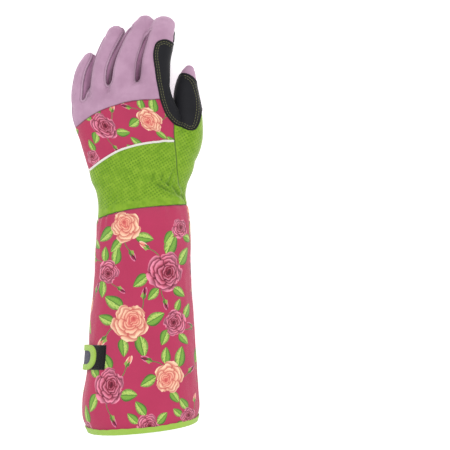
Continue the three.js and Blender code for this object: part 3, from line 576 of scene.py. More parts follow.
def panel_of(points):
    """Which panel each place on the skin belongs to, counting on for what the cuff hides."""
    x, y, z = points.T
    wrapped = (y < seam_y(KNUCKLE_SEAM, x)) & (y < THUMB_ROOT * HAND_LENGTH)
    upper = z > parting_height(x, y) - UPPER_WRAP * wrapped
    thumb_side = x > gusset_x(y)
    label = np.full(len(points), PANELS.index("palm"))
    label[upper] = PANELS.index("wrist_back")
    label[upper & (y > seam_y(PIPING_SEAM, x))] = PANELS.index("knuckle_panel")
    label[upper & (y > seam_y(KNUCKLE_SEAM, x))] = PANELS.index("finger_backs")
    label[upper & thumb_side] = PANELS.index("thumb_gusset")
    label[thumb_side & (y > THUMB_ROOT * HAND_LENGTH)] = PANELS.index("thumb")
    for i in range(3):
        label[in_side_strip(i, x, y, z) & ~thumb_side] = FIRST_STRIP + i
    label[y < seam_y(CUFF_SEAM, x)] = len(PANELS)
    return label


def inside(outline, x, y):
    """Whether places lie inside a closed outline seen from above."""
    within = np.zeros(len(x), bool)
    for (ax, ay), (bx, by) in zip(outline, np.roll(outline, -1, axis=0)):
        crosses = (ay > y) != (by > y)
        at = ax + (y - ay) / (by - ay + 1e-12) * (bx - ax)
        within ^= crosses & (x < at)
    return within


PATCH_CURVE = closed_curve(np.array(PATCH_OUTLINE) * (HAND_WIDTH, HAND_LENGTH), 240)


def patch_of(points):
    """1 on the crotch patch and 2 on the index finger's tip pad."""
    x, y, z = points.T
    height = parting_height(x, y)
    label = (inside(PATCH_CURVE, x, y) & (z > height - PATCH_WRAP)).astype(int)
    across, along = x / HAND_WIDTH, y / HAND_LENGTH
    pad = (along > TIP_PAD["from"]) & (across > TIP_PAD["left"]) & (across < TIP_PAD["right"])
    shows, reach = TIP_PAD_SHOWS
    beside = np.exp(-(((along - shows) / reach) ** 4)) * (x > digit_row(FINGERS[3], y)[:, 0])
    label[pad & (z < height + TIP_PAD_RISES * beside - TIP_PAD_DROPS * (1 - beside)) & (label == 0)] = 2
    return label


class Skin:
    """A surface with a label for each face and clean seams between the labels."""

    def __init__(self, points, faces, label_of, pointed=()):
        """The labels in pointed keep their lowest corner sharp."""
        self.points, self.faces, self.pointed = points.copy(), faces, pointed
        self.smooth_tree = BVHTree.FromPolygons(points.tolist(), faces.tolist())
        self.label = label_of(points[faces].mean(axis=1))
        self.find_edges()
        self.clean_labels()
        self.straighten_seams()
        self.relax_near_seams()
        self.normals = self.vertex_normals()
        self.seam_distance = self.distance_to_seams()

    def find_edges(self):
        """Each inner edge, with the two faces beside it."""
        ends = np.stack([self.faces, np.roll(self.faces, -1, axis=1)], axis=-1).reshape(-1, 2)
        ends.sort(axis=1)
        owner = np.repeat(np.arange(len(self.faces)), 4)
        order = np.lexsort((ends[:, 1], ends[:, 0]))
        ends, owner = ends[order], owner[order]
        pair = np.flatnonzero((ends[1:] == ends[:-1]).all(axis=1))
        self.edges = ends[pair]
        self.beside = np.column_stack([owner[pair], owner[pair + 1]])

    def clean_labels(self):
        """Turns the odd face that stands alone in another panel."""
        kinds = self.label.max() + 1
        for _ in range(4):
            votes = np.zeros((len(self.faces), kinds), int)
            for a, b in ((0, 1), (1, 0)):
                np.add.at(votes, (self.beside[:, a], self.label[self.beside[:, b]]), 1)
            own = votes[np.arange(len(self.faces)), self.label]
            self.label = np.where(own <= 1, votes.argmax(axis=1), self.label)

    def straighten_seams(self):
        """Draws each seam out of its steps from face to face."""
        parted = self.label[self.beside[:, 0]] != self.label[self.beside[:, 1]]
        others = {}
        for a, b in self.edges[parted].tolist():
            others.setdefault(a, []).append(b)
            others.setdefault(b, []).append(a)
        self.seam_vertices = np.array(sorted(others))
        pinned = set()
        for kind in self.pointed:
            rim = set(self.faces[self.label == kind].ravel()) & set(others)
            pinned.add(min(rim, key=lambda vertex: self.points[vertex, 1]))
        movers = np.array([vertex for vertex, near in others.items()
                           if len(near) == 2 and vertex not in pinned])
        first, second = np.array([others[vertex] for vertex in movers]).T
        for step in range(24):
            middle = (self.points[first] + self.points[second]) / 2
            self.points[movers] += (middle - self.points[movers]) * 0.5
            if step % 6 == 5:
                self.seat(movers)

    def relax_near_seams(self):
        """Evens out the faces beside a seam that has moved."""
        fixed = np.zeros(len(self.points), bool)
        fixed[self.seam_vertices] = True
        near = fixed.copy()
        for _ in range(3):
            near[self.edges[near[self.edges].any(axis=1)].ravel()] = True
        free = np.flatnonzero(near & ~fixed)
        count = np.maximum(np.bincount(self.edges.ravel(), minlength=len(self.points)), 1)[:, None]
        for _ in range(6):
            total = np.zeros_like(self.points)
            np.add.at(total, self.edges[:, 0], self.points[self.edges[:, 1]])
            np.add.at(total, self.edges[:, 1], self.points[self.edges[:, 0]])
            self.points[free] += (total[free] / count[free] - self.points[free]) * 0.5
        self.seat(free)

    def seat(self, vertices):
        for vertex in vertices:
            self.points[vertex] = self.smooth_tree.find_nearest(self.points[vertex])[0]

    def vertex_normals(self):
        corners = self.points[self.faces]
        normal = np.cross(corners[:, 2] - corners[:, 0], corners[:, 3] - corners[:, 1])
        total = np.zeros_like(self.points)
        for k in range(4):
            np.add.at(total, self.faces[:, k], normal)
        return total / np.maximum(np.linalg.norm(total, axis=1), 1e-9)[:, None]

    def distance_to_seams(self):
        tree = KDTree(len(self.seam_vertices))
        for i, vertex in enumerate(self.seam_vertices):
            tree.insert(self.points[vertex], i)
        tree.balance()
        return np.array([tree.find(point)[2] for point in self.points])

    def cut(self, name, chosen, points):
        """A piece of the chosen faces, with its vertices' numbers in the surface."""
        used, flat = np.unique(self.faces[chosen], return_inverse=True)
        piece = new_piece(name, points[used], flat.reshape(-1, 4))
        store(piece, "seam", self.seam_distance[used])
        return piece, used


def crease_depth(points):
    """How deep the creases by the thumb and the puckers at the elastic press in."""
    x, y, z = points.T
    depth = np.zeros(len(points))
    for ax, ay, bx, by, deep, wide in CREASES:
        start = np.array((ax * HAND_WIDTH, ay * HAND_LENGTH))
        run = np.array((bx * HAND_WIDTH, by * HAND_LENGTH)) - start
        t = ((x - start[0]) * run[0] + (y - start[1]) * run[1]) / (run @ run)
        away = np.abs((x - start[0]) * run[1] - (y - start[1]) * run[0]) / (math.hypot(*run) * wide)
        along = np.clip(1 - np.abs(2 * t - 1) ** 3, 0, 1) * (np.abs(t - 0.5) < 0.5)
        depth += deep * along * (np.exp(-(away**2)) - CREASE_RIDGE * np.exp(-((away - 2) ** 2)))
    above_cuff = y - seam_y(CUFF_SEAM, x)
    ripple = np.sin(x * 0.62 + 0.9 * np.sin(x * 0.21)) * np.clip(z / 12, 0, 1)
    deep, middle, reach = PUCKERS
    depth += deep * ripple * np.exp(-(((above_cuff - middle) / reach) ** 2))
    return depth


def dressed(skin):
    """The skin's points with seams drawn in, panels puffed and creases pressed in."""
    away = skin.seam_distance
    dip = SEAM_DIP[0] * np.exp(-((away / SEAM_DIP[1]) ** 2))
    puff = PUFF[0] * (1 - np.exp(-((away / PUFF[1]) ** 2)))
    rough = noise_at(skin.points * UNEVEN[1]) * UNEVEN[0]
    moved = puff + rough * np.clip(away / 5, 0, 1) - dip - crease_depth(skin.points)
    points = skin.points + skin.normals * moved[:, None]
    points[:, 2] = np.maximum(points[:, 2], 0)
    return points


# Surface coordinates and the printed roses

def store(piece, name, values, domain="POINT", kind="FLOAT"):
    layer = piece.data.attributes.new(name, kind, domain)
    field = "value" if kind == "FLOAT" else "vector"
    layer.data.foreach_set(field, np.ascontiguousarray(values, dtype=np.float32).ravel())


def store_uv(piece, corners):
    """Keeps surface coordinates, in metres, for each corner of the faces."""
    layer = piece.data.uv_layers.new(name="cloth")
    layer.data.foreach_set("uv", np.ascontiguousarray(corners * MM, dtype=np.float32).ravel())


def wrapped_x(points):
    """Place across a section measured along the skin, so that a print isn't stretched down the sides."""
    rows = body_row(points[:, 1])
    share = np.clip((points[:, 0] - rows[:, 0]) / rows[:, 1], -1, 1)
    steps = np.linspace(-1, 1, 201)
    height = SECTION_TALL * (1 - np.abs(steps) ** SECTION_POWER) ** (1 / SECTION_POWER)
    arc = lengths_along(np.column_stack([steps, height]))
    arc -= arc[len(steps) // 2]
    return np.interp(share, steps, arc) * rows[:, 1]


def out_from(bloom, degrees, away):
    """A place out from the edge of a bloom."""
    x, y, radius, _, _ = BLOOMS[bloom]
    turn = math.radians(degrees)
    return x + (radius + away) * math.cos(turn), y + (radius + away) * math.sin(turn)


def leaves():
    """The leaves of the sprays: x, y, half-length, turn and 0."""
    for bloom, first, sizes in SPRAYS:
        for i, half in enumerate(sizes):
            turn = first + i * SPRAY_STEP
            yield (*out_from(bloom, turn, LEAF_STALK * half), half, turn + LEAF_TILTS[i], 0)


def buds():
    """The buds: x, y, radius, turn and kind."""
    for bloom, turn, size, kind in BUDS:
        yield (*out_from(bloom, turn, STEM * size), size, turn + 10, kind)


def tiled(motifs):
    """The motifs of the print repeated over the cloth, each row of repeats half a repeat aside."""
    wide, tall = REPEAT
    for x, y, *rest in motifs:
        for column in range(-3, 4):
            for row in range(-3, 3):
                yield (x + column * wide, y + row * tall + (column % 2) * tall / 2, *rest)


def motif_corners(corners, motifs, middle_x, reach_x, reach_y):
    """Coordinates within the nearest motif for each corner: place in its own frame, and its kind."""
    middle = corners.mean(axis=1)
    best = np.full(len(middle), 1.0)
    out = np.full((*corners.shape[:2], 3), 9.0)
    low, high = middle.min(axis=0) - 40, middle.max(axis=0) + 40
    for x, y, radius, turn, kind in tiled(motifs):
        if not (low[0] < x < high[0] and low[1] < y < high[1]):
            continue
        c, s = math.cos(math.radians(turn)), math.sin(math.radians(turn))
        turned = np.array([[c, -s], [s, c]]) / radius
        near = (middle - (x, y)) @ turned
        away = np.maximum(np.abs(near[:, 0] - middle_x) / reach_x, np.abs(near[:, 1]) / reach_y)
        chosen = away < best
        best[chosen] = away[chosen]
        local = (corners[chosen] - (x, y)) @ turned
        out[chosen] = np.concatenate([local, np.full((*local.shape[:2], 1), kind)], axis=-1)
    return out


def print_roses(piece, corners):
    """Keeps the cloth's coordinates and, for each kind of motif, the place within the nearest one."""
    store_uv(piece, corners)
    # Each kind's name, its motifs, and the middle and reaches of the box that one fills.
    for name, motifs, *reach in (("blooms", BLOOMS, 0, 1.2, 1.2), ("leaves", leaves(), -0.2, 1.3, 0.75),
                                 ("buds", buds(), -1.5, 2.7, 0.9)):
        store(piece, name, motif_corners(corners, motifs, *reach), "CORNER", "FLOAT_VECTOR")


# The cuff and its trim

SWAY = {"slow": 1.5, "quick": 0.55, "gathers": 0.45, "side seam": 1.2, "tuck": 1.0}  # how far each moves it


def cuff_sway(y, angle):
    """How far the padded cloth of the cuff stands out at a place, in millimetres."""
    y, angle = np.broadcast_arrays(y, angle)
    flat = np.stack([np.cos(angle).ravel() * 1.6, np.sin(angle).ravel() * 1.6, y.ravel() / 60], axis=-1)
    slow = noise_at(flat).reshape(y.shape)
    quick = noise_at(flat * 3.1).reshape(y.shape)
    from_seam = seam_y(CUFF_SEAM, np.cos(angle) * WRIST_WIDTH / 2) - y
    gather = np.sin(angle * 19 + 2.2 * np.sin(angle * 5)) * np.exp(-((from_seam / 9) ** 2))
    turned = np.angle(np.exp(1j * (angle - SIDE_SEAM)))
    side = np.exp(-((turned * 52 / 1.6) ** 2)) * np.clip((y - HEM) / 12, 0, 1)
    tuck = np.exp(-((from_seam / 2.0) ** 2))
    out = SWAY["slow"] * slow + SWAY["quick"] * quick + SWAY["gathers"] * gather
    return out - SWAY["side seam"] * side - SWAY["tuck"] * tuck


def cuff_point(y, angle, offset):
    """A place off the dressed cuff's cloth."""
    y, angle, offset = np.broadcast_arrays(np.asarray(y, float), angle, offset)
    fade = np.clip((y - HEM) / 25, 0, 1)
    return body_points(y, angle, offset + cuff_sway(y, angle) * fade).reshape(*y.shape, 3)


def top_of_cuff(angles):
    """Where the cuff's cloth meets the wrist, for each angle round it."""
    y = np.zeros_like(angles)
    for _ in range(6):
        y = seam_y(CUFF_SEAM, body_points(y, angles)[:, 0]) - 0.2
    return y


def make_cuff(cotton):
    """The printed cuff, of two layers that join at the hem and the wrist, with a lining inside."""
    around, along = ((240, 150))
    angles = SIDE_SEAM + np.linspace(0, 2 * math.pi, around, endpoint=False)
    shares = np.linspace(0, 1, along) ** 0.9
    tops = top_of_cuff(angles)
    ys = HEM + HEM_INSIDE + (tops - HEM - HEM_INSIDE) * shares[:, None]
    turn = np.broadcast_to(angles, ys.shape)
    outer = cuff_point(ys, turn, 0.0)
    inner = cuff_point(ys, turn, -CUFF_CLOTH)
    points = np.concatenate([outer.reshape(-1, 3), inner.reshape(-1, 3)])
    count = along * around
    last = count - around
    side = np.arange(around)
    after = np.roll(side, -1)
    hem = np.column_stack([after, side, side + count, after + count])
    top = np.column_stack([side, after, after + count, side + count]) + last
    faces = np.concatenate([two_sided(along, around), hem, top])
    piece = new_piece("gauntlet_cuff", points, faces)
    step = np.linalg.norm(np.roll(outer, -1, axis=1) - outer, axis=2)
    arc = np.concatenate([np.zeros((along, 1)), np.cumsum(step, axis=1)], axis=1)
    top_column = int(round((math.pi / 2 - SIDE_SEAM) / (2 * math.pi) * around))
    arc = arc[:, top_column:top_column + 1] - arc
    flat_x = np.concatenate([arc[:, :-1].ravel()] * 2)
    flat_y = np.concatenate([ys.ravel()] * 2)
    corners = np.stack([flat_x[faces], flat_y[faces]], axis=-1)
    closing = np.arange(around - 1, last, around)
    full = arc[:, -1]
    row = closing // around
    corners[closing, 1, 0], corners[closing, 2, 0] = full[row], full[row + 1]
    print_roses(piece, corners)
    edge = np.concatenate([(tops - ys).ravel()] * 2)
    store(piece, "seam", np.abs(edge))
    lined = np.arange(len(faces)) >= last
    piece.data.polygons.foreach_set("material_index", lined.astype(int))
    finish_piece(piece, "cuff", cotton, lining())


def sweep(name, rings, closed_rings=True):
    """A skin over rings of points that joins the last ring to the first, or caps both ends."""
    rings = np.asarray(rings)
    count, sides = rings.shape[:2]
    faces = grid_faces(count, sides)
    if closed_rings:
        for side in range(sides):
            after = (side + 1) % sides
            faces.append(((count - 1) * sides + side, (count - 1) * sides + after, after, side))
    else:
        faces.append(tuple(range(sides))[::-1])
        faces.append(tuple((count - 1) * sides + side for side in range(sides)))
    piece = new_piece(name, rings.reshape(-1, 3), faces)
    point_outwards(piece)
    return piece


def rounded(corners, radius, steps=4):
    """A closed outline with its corners rounded."""
    corners = np.asarray(corners, float)
    outline = []
    for before, at, after in zip(np.roll(corners, 1, axis=0), corners, np.roll(corners, -1, axis=0)):
        reach = min(radius, np.linalg.norm(before - at) * 0.45, np.linalg.norm(after - at) * 0.45)
        start = at + (before - at) / np.linalg.norm(before - at) * reach
        end = at + (after - at) / np.linalg.norm(after - at) * reach
        for t in np.linspace(0, 1, steps):
            outline.append(start * (1 - t) ** 2 + 2 * at * t * (1 - t) + end * t**2)
    return np.array(outline)


def make_hem_binding():
    """Tape folded round the open end."""
    outer = SEAM_GAP + BINDING_THICKNESS
    inner = -CUFF_CLOTH - SEAM_GAP
    lined = inner - BINDING_THICKNESS
    leg = BINDING_WIDTH - outer
    profile = rounded([(SEAM_GAP - 0.15, leg), (outer, leg), (outer, -outer), (lined, -outer),
                       (lined, leg), (inner + 0.1, leg), (inner + 0.1, 0), (SEAM_GAP, 0)], 1.0)
    angles = np.linspace(0, 2 * math.pi, 240, endpoint=False)
    rings = []
    for angle in angles:
        wave = 0.18 * math.sin(angle * 31) + 0.25 * math.sin(angle * 7 + 1)
        out, along = profile.T
        y = HEM + along + wave * (along > 1)
        rings.append(body_points(np.maximum(y, HEM - 3), angle, out + 0.12 * np.sin(angle * 47 + along)))
    piece = sweep("hem_tape", rings)
    finish_piece(piece, "hem_binding", tape("lime_tape_hem"))


def strap_arc():
    """Angle round the cuff for a distance from the strap's tip, along the cloth."""
    middle = -STRAP_ALONG * CUFF_LENGTH
    angles = np.radians(np.linspace(STRAP_TIP, STRAP_SEWN + 6, 200))
    ring = body_points(np.full(200, middle), angles)
    return lengths_along(ring), angles


STRAP_ARC, STRAP_ANGLES = strap_arc()
STRAP_LENGTH = float(np.interp(math.radians(STRAP_SEWN), STRAP_ANGLES, STRAP_ARC))


def strap_point(s, w, height):
    """A place on the strap: distance from its tip, distance across it, and height over the cuff."""
    s, w, height = np.broadcast_arrays(np.asarray(s, float), w, height)
    share = np.clip(s / STRAP_LENGTH, 0, 1)
    resting = (LOOP_THICKNESS + 2 * SEAM_GAP) * (1 - share) + SEAM_GAP * share
    floor = resting + STRAP_STAND_OFF * np.sin(math.pi * share) ** 2
    first = (STRAP_ANGLES[1] - STRAP_ANGLES[0]) / (STRAP_ARC[1] - STRAP_ARC[0])
    angle = np.where(s < 0, STRAP_ANGLES[0] + s * first, np.interp(s, STRAP_ARC, STRAP_ANGLES))
    return cuff_point(-STRAP_ALONG * CUFF_LENGTH + w, angle, floor + height)


def strap_outline(inset, count=90):
    """The strap's edge seen flat, moved inwards: up one side, round the tip and back."""
    half = STRAP_WIDTH / 2 - inset
    reach = STRAP_REACH - inset
    turn = np.linspace(-math.pi / 2, math.pi / 2, count)
    power = 2 / 2.5
    s = STRAP_REACH - np.cos(turn) ** power * reach
    w = np.sign(np.sin(turn)) * np.abs(np.sin(turn)) ** power * half
    straight = np.linspace(STRAP_LENGTH, STRAP_REACH, 40)[:-1]
    return (np.concatenate([straight, s, straight[::-1]]),
            np.concatenate([np.full(39, -half), w, np.full(39, half)]))


def make_strap():
    """The strap's web, and the tape folded over its edge."""
    top = STRAP_THICKNESS
    fold = 1.2  # the web's edge lies this far inside the tape's
    profile = rounded([(0, 0), (0, top), (STRAP_EDGE, top), (STRAP_EDGE, top - 0.5),
                       (fold, top - 0.6), (fold, 0.6), (STRAP_EDGE, 0.5), (STRAP_EDGE, 0)], 0.7)
    s, w = np.array([strap_outline(inset) for inset in profile[:, 0]]).T.swapaxes(0, 1)
    placed = strap_point(s, w, profile[:, 1])
    binding = sweep("strap_tape", placed, closed_rings=False)
    finish_piece(binding, "strap_binding", tape("lime_tape_strap"))
    columns, inset = 26, 0.75
    s, w = strap_outline(STRAP_EDGE - 2)
    rows = len(s) // 2
    s = np.repeat(s[:rows, None], columns, axis=1)
    w = np.abs(w[:rows, None]) * np.linspace(-1, 1, columns)
    grid = np.stack([strap_point(s, w, top - inset), strap_point(s, w, inset)])
    faces = two_sided(rows, columns, closed=False)
    piece = new_piece("strap_web", grid.reshape(-1, 3), faces)
    store_uv(piece, np.concatenate([np.stack([w, s], axis=-1).reshape(-1, 2)] * 2)[faces])
    point_outwards(piece)
    finish_piece(piece, "strap", webbing())


def make_loop_patch():
    """The fuzzy square that the strap closes on."""
    side = LOOP_CELLS
    angles = np.radians(np.linspace(LOOP_FROM, LOOP_TO, side))
    across = np.linspace(-LOOP_WIDTH / 2, LOOP_WIDTH / 2, side)
    turn, w = np.meshgrid(angles, across, indexing="ij")
    from_end = np.minimum(np.arange(side), np.arange(side)[::-1])
    rim = np.minimum(from_end[:, None], from_end[None, :])
    tufts = noise_at(np.column_stack([turn.ravel() * 90, w.ravel() * 2.1, np.zeros(side * side)]))
    high = LOOP_THICKNESS * np.clip(rim / 2.5, 0.1, 1) ** 0.5 + 0.35 * tufts.reshape(rim.shape) * (rim > 0)
    y = w - STRAP_ALONG * CUFF_LENGTH
    rows = cuff_point(y, turn, SEAM_GAP - 0.1 + high)
    under = cuff_point(y, turn, 0.05)
    number = np.arange(side * side).reshape(side, side)
    ring = np.concatenate([number[:, 0], number[-1, 1:], number[-2::-1, -1], number[0, -2:0:-1]])
    after = np.roll(ring, -1)
    wall = np.column_stack([ring, after, after + number.size, ring + number.size])
    faces = np.concatenate([two_sided(side, side, closed=False), wall])
    piece = new_piece("loop_square", np.concatenate([rows.reshape(-1, 3), under.reshape(-1, 3)]), faces)
    point_outwards(piece)
    finish_piece(piece, "loop_patch", loop_tape())


def drop_on(tree, x, y):
    """The highest place of a surface at a place seen from above, with its normal."""
    place, normal, _, _ = tree.ray_cast(Vector((x, y, 200)), Vector((0, 0, -1)))
    return place, normal


def tree_of(points, faces):
    return BVHTree.FromPolygons(points.tolist(), faces.tolist())


def make_piping(tree):
    """A covered cord laid along the seam under the printed panel."""
    xs = np.linspace(PIPING_STARTS, GUSSET_AT_PIPING - 0.008, 150) * HAND_WIDTH
    ys = seam_y(PIPING_SEAM, xs)
    centres, ups = [], []
    for x, y in zip(xs, ys):
        place, normal = drop_on(tree, x, y)
        if place is None:
            continue
        centres.append(place + normal * PIPING_DIAMETER * PIPING_PROUD)
        ups.append(normal)
    centres, ups = np.array(centres), np.array(ups)
    for _ in range(6):
        centres[1:-1] = (centres[:-2] + 2 * centres[1:-1] + centres[2:]) / 4
    ahead = unit(np.gradient(centres, axis=0))
    across = unit(np.cross(ahead, ups))
    lift = np.cross(across, ahead)
    turn = np.linspace(0, 2 * math.pi, 20, endpoint=False)
    radius = PIPING_DIAMETER / 2
    rings = (centres[:, None] + radius * (np.cos(turn)[None, :, None] * across[:, None]
                                          + np.sin(turn)[None, :, None] * lift[:, None]))
    piece = sweep("piping_cord", rings, closed_rings=False)
    finish_piece(piece, "piping", piping_cloth())


def offset_line(curve, inset):
    """A line seen from above moved to its right-hand side."""
    ahead = unit(np.gradient(curve, axis=0))
    return curve + inset * np.column_stack([ahead[:, 1], -ahead[:, 0]])


STITCH = {"length": 2.0, "pitch": 2.7, "radius": 0.24, "sides": 8}
STITCH_PROFILE = ((-0.5, 0.2), (-0.42, 0.75), (-0.2, 1), (0.2, 1), (0.42, 0.75), (0.5, 0.2))


def make_stitches(name, lines, tree, paint):
    """Rows of short rounded stitches laid on a surface."""
    sides = STITCH["sides"]
    turn = np.linspace(0, 2 * math.pi, sides, endpoint=False)
    solid = grid_faces(len(STITCH_PROFILE), sides)
    solid.append(tuple(range(sides))[::-1])
    solid.append(tuple(range((len(STITCH_PROFILE) - 1) * sides, len(STITCH_PROFILE) * sides)))
    points, faces = [], []
    for line in lines:
        arc = lengths_along(line)
        for at in np.arange(STITCH["pitch"] / 2, arc[-1], STITCH["pitch"]):
            (place, normal), (after, _) = (drop_on(tree, np.interp(reach, arc, line[:, 0]),
                                                   np.interp(reach, arc, line[:, 1]))
                                           for reach in (at, at + 0.6))
            if place is None or after is None or (after - place).length < 1e-4 or normal.z < 0.12:
                continue
            ahead = (after - place).normalized()
            side = ahead.cross(normal).normalized()
            up = side.cross(ahead)
            faces += [tuple(len(points) + k for k in face) for face in solid]
            for t, wide in STITCH_PROFILE:
                middle = place + ahead * (t * STITCH["length"]) + up * (0.12 - 0.5 * abs(t) ** 2)
                thick = STITCH["radius"] * wide
                points += [middle + (side * math.cos(a) + up * math.sin(a)) * thick for a in turn]
    piece = new_piece(name, np.array(points), faces)
    point_outwards(piece)
    piece.data.materials.append(paint)
    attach(piece, "root")


def finish_piece(piece, node, *paints):
    """Gives a piece its materials, puts it on the root body and hides the solid that it takes the place of.
    """
    for paint in paints:
        piece.data.materials.append(paint)
    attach(piece, "root")
    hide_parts(node)


# Node helpers

def srgb(red, green, blue):
    """A colour given as it shows on screen, from 0 to 255."""
    linear = [c / 255 / 12.92 if c <= 10 else ((c / 255 + 0.055) / 1.055) ** 2.4
              for c in (red, green, blue)]
    return (*linear, 1.0)


def reckoned(operation):
    """A method that adds a Math node for an operator."""
    return lambda wire, other: wire.nodes.math(operation, wire, other)


class Wire:
    """An output of a node. Sums, products and powers of wires add Math nodes."""

    __add__ = __radd__ = reckoned("ADD")
    __mul__ = __rmul__ = reckoned("MULTIPLY")
    __sub__ = reckoned("SUBTRACT")
    __truediv__ = reckoned("DIVIDE")
    __pow__ = reckoned("POWER")

    def __init__(self, nodes, socket):
        self.nodes, self.socket = nodes, socket

    def __rsub__(self, other):
        return self.nodes.math("SUBTRACT", other, self)

    def __abs__(self):
        return self.nodes.math("ABSOLUTE", self)


class Nodes:
    """Adds nodes to a tree and joins them."""

    def __init__(self, tree):
        self.tree = tree

    def join(self, socket, value):
        """Feeds a socket from a wire, or gives it a fixed value."""
        if isinstance(value, Wire):
            self.tree.links.new(value.socket, socket)
        elif value is not None:
            socket.default_value = value

    def add(self, kind, inputs, **settings):
        """A new node's outputs by name and by number."""
        node = self.tree.nodes.new("ShaderNode" + kind)
        for key, value in settings.items():
            setattr(node, key, value)
        for key, value in inputs.items():
            self.join(node.inputs[key], value)
        wires = [Wire(self, socket) for socket in node.outputs]
        return {**dict(enumerate(wires)), **{wire.socket.name: wire for wire in wires}}

    def math(self, operation, *values):
        return self.add("Math", dict(enumerate(values)), operation=operation)[0]

    def wave(self, place, pitch):
        """A sine wave along a place."""
        return self.math("SINE", place / pitch * (2 * math.pi))

    def vector(self, operation, *values):
        return self.add("VectorMath", dict(enumerate(values)), operation=operation)

    def step(self, value, start, end):
        """0 below start and 1 above end, eased between them."""
        inputs = {"Value": value, "From Min": start, "From Max": end}
        return self.add("MapRange", inputs, interpolation_type="SMOOTHSTEP")["Result"]

    def band(self, value, start, full, fading, end):
        """1 from full to fading, and 0 before start and after end."""
        return self.step(value, start, full) * self.step(value, end, fading)

    def mix(self, factor, a, b):
        return self.add("Mix", {0: factor, 6: a, 7: b}, data_type="RGBA")[2]

    def attribute(self, name, output="Fac"):
        return self.add("Attribute", {}, attribute_name=name)[output]

    def split(self, vector):
        parts = self.add("SeparateXYZ", {0: vector})
        return parts[0], parts[1], parts[2]

    def joined(self, x, y, z=0.0):
        return self.add("CombineXYZ", {0: x, 1: y, 2: z})[0]

    def noise(self, scale, detail, place, rough=0.5, output="Fac"):
        inputs = {"Scale": scale, "Detail": detail, "Roughness": rough, "Vector": place}
        return self.add("TexNoise", inputs)[output]

    def cloth(self):
        """Coordinates along the cloth, in metres."""
        return self.add("UVMap", {}, uv_map="cloth")["UV"]

    def place(self):
        return self.add("TexCoord", {})["Object"]

    def bump(self, height, distance, normal=None):
        return self.add("Bump", {"Height": height, "Distance": distance, "Normal": normal})["Normal"]

    def group(self, tree, **inputs):
        return self.add("Group", inputs, node_tree=tree)


def new_group(name, inputs, outputs):
    """A node group with its sockets, its helper, what it is given, and what it makes."""
    tree = bpy.data.node_groups.new(name, "ShaderNodeTree")
    for side, sockets in (("INPUT", inputs), ("OUTPUT", outputs)):
        for kind, labels in sockets.items():
            for label in labels.split():
                tree.interface.new_socket(label, in_out=side, socket_type="NodeSocket" + kind)
    n = Nodes(tree)
    given = {socket.name: Wire(n, socket) for socket in tree.nodes.new("NodeGroupInput").outputs}
    return tree, n, given, tree.nodes.new("NodeGroupOutput").inputs


def new_paint(name, roughness, specular, sheen=0.0, sheen_tint=(1, 1, 1, 1)):
    """A material's node helper, and what gives it its colour and normal and hands it over."""
    paint = bpy.data.materials.new(name)
    paint.use_nodes = True
    shader = paint.node_tree.nodes["Principled BSDF"].inputs
    fixed = {"Roughness": roughness, "Specular IOR Level": specular, "Sheen Weight": sheen,
             "Sheen Roughness": 0.5, "Sheen Tint": sheen_tint}
    for socket, value in fixed.items():
        shader[socket].default_value = value
    n = Nodes(paint.node_tree)

    def painted(colour, normal=None):
        n.join(shader["Base Color"], colour)
        n.join(shader["Normal"], normal)
        return paint

    return n, painted


# Effects that several finishes share

def shade_group():
    """Mixes a tint into a colour beside a seam, in full at Near and not at all at Far; most finishes use it
    for painted shade in the seam's groove.
    """
    inputs = {"Color": "Color Tint", "Float": "Distance Near Far Amount"}
    tree, n, given, made = new_group("seam_shade", inputs, {"Color": "Shaded"})
    share = n.step(given["Distance"], given["Far"], given["Near"]) * given["Amount"]
    n.join(made["Shaded"], n.mix(share, given["Color"], given["Tint"]))
    return tree


def weave_group():
    """A plain weave: the relief of threads that cross at the pitches of warp and weft."""
    tree, n, given, made = new_group("weave", {"Vector": "Place", "Float": "Warp Weft"}, {"Float": "Height"})
    x, y, _ = n.split(given["Place"])
    n.join(made["Height"], n.wave(x, given["Warp"]) * n.wave(y, given["Weft"]))
    return tree


def twill_group():
    """Slanting ribs of yarn across a direction."""
    tree, n, given, made = new_group("twill", {"Vector": "Place Across", "Float": "Pitch"},
                                     {"Float": "Height"})
    across = n.vector("DOT_PRODUCT", given["Place"], given["Across"])["Value"]
    n.join(made["Height"], n.wave(across, given["Pitch"]))
    return tree


def mottle_group():
    """Two colours mixed by soft noise."""
    inputs = {"Vector": "Place", "Float": "Scale Detail", "Color": "Dark Light"}
    tree, n, given, made = new_group("mottle", inputs, {"Color": "Color"})
    cloudy = n.noise(given["Scale"], given["Detail"], given["Place"])
    n.join(made["Color"], n.mix(cloudy, given["Dark"], given["Light"]))
    return tree


SHADE, WEAVE, TWILL, MOTTLE = shade_group(), weave_group(), twill_group(), mottle_group()


def shaded(n, colour, tint, near, far, amount=1.0):
    return n.group(SHADE, Color=colour, Tint=tint, Distance=n.attribute("seam"), Near=near, Far=far,
                   Amount=amount)["Shaded"]


def mottled(n, place, scale, dark, light, detail=3.0):
    return n.group(MOTTLE, Place=place, Scale=scale, Detail=detail, Dark=dark, Light=light)["Color"]


# The rose print

# Petal colours: edge, body, deep and shade.
PINK = (srgb(246, 150, 178), srgb(224, 98, 126), srgb(144, 36, 58), srgb(78, 14, 36))
PEACH = (srgb(252, 220, 184), srgb(244, 182, 150), srgb(232, 122, 112), srgb(196, 84, 82))
GROUND = (srgb(174, 50, 86), srgb(188, 56, 94))
MOTIF = {"Color": "Color", "Float": "Mask"}
# Rings of petals from the outside in: size, petals, turn, how far off the middle, and depth of colour.
PETAL_RINGS = ((1.0, 5, 0.4, 0.0, 0.0), (0.84, 4, 1.5, 0.3, 0.1), (0.67, 5, 0.2, 0.6, 0.45),
               (0.5, 3, 1.1, 0.85, 0.75), (0.35, 3, 2.4, 1.0, 0.9), (0.2, 2, 0.9, 1.1, 1.0))


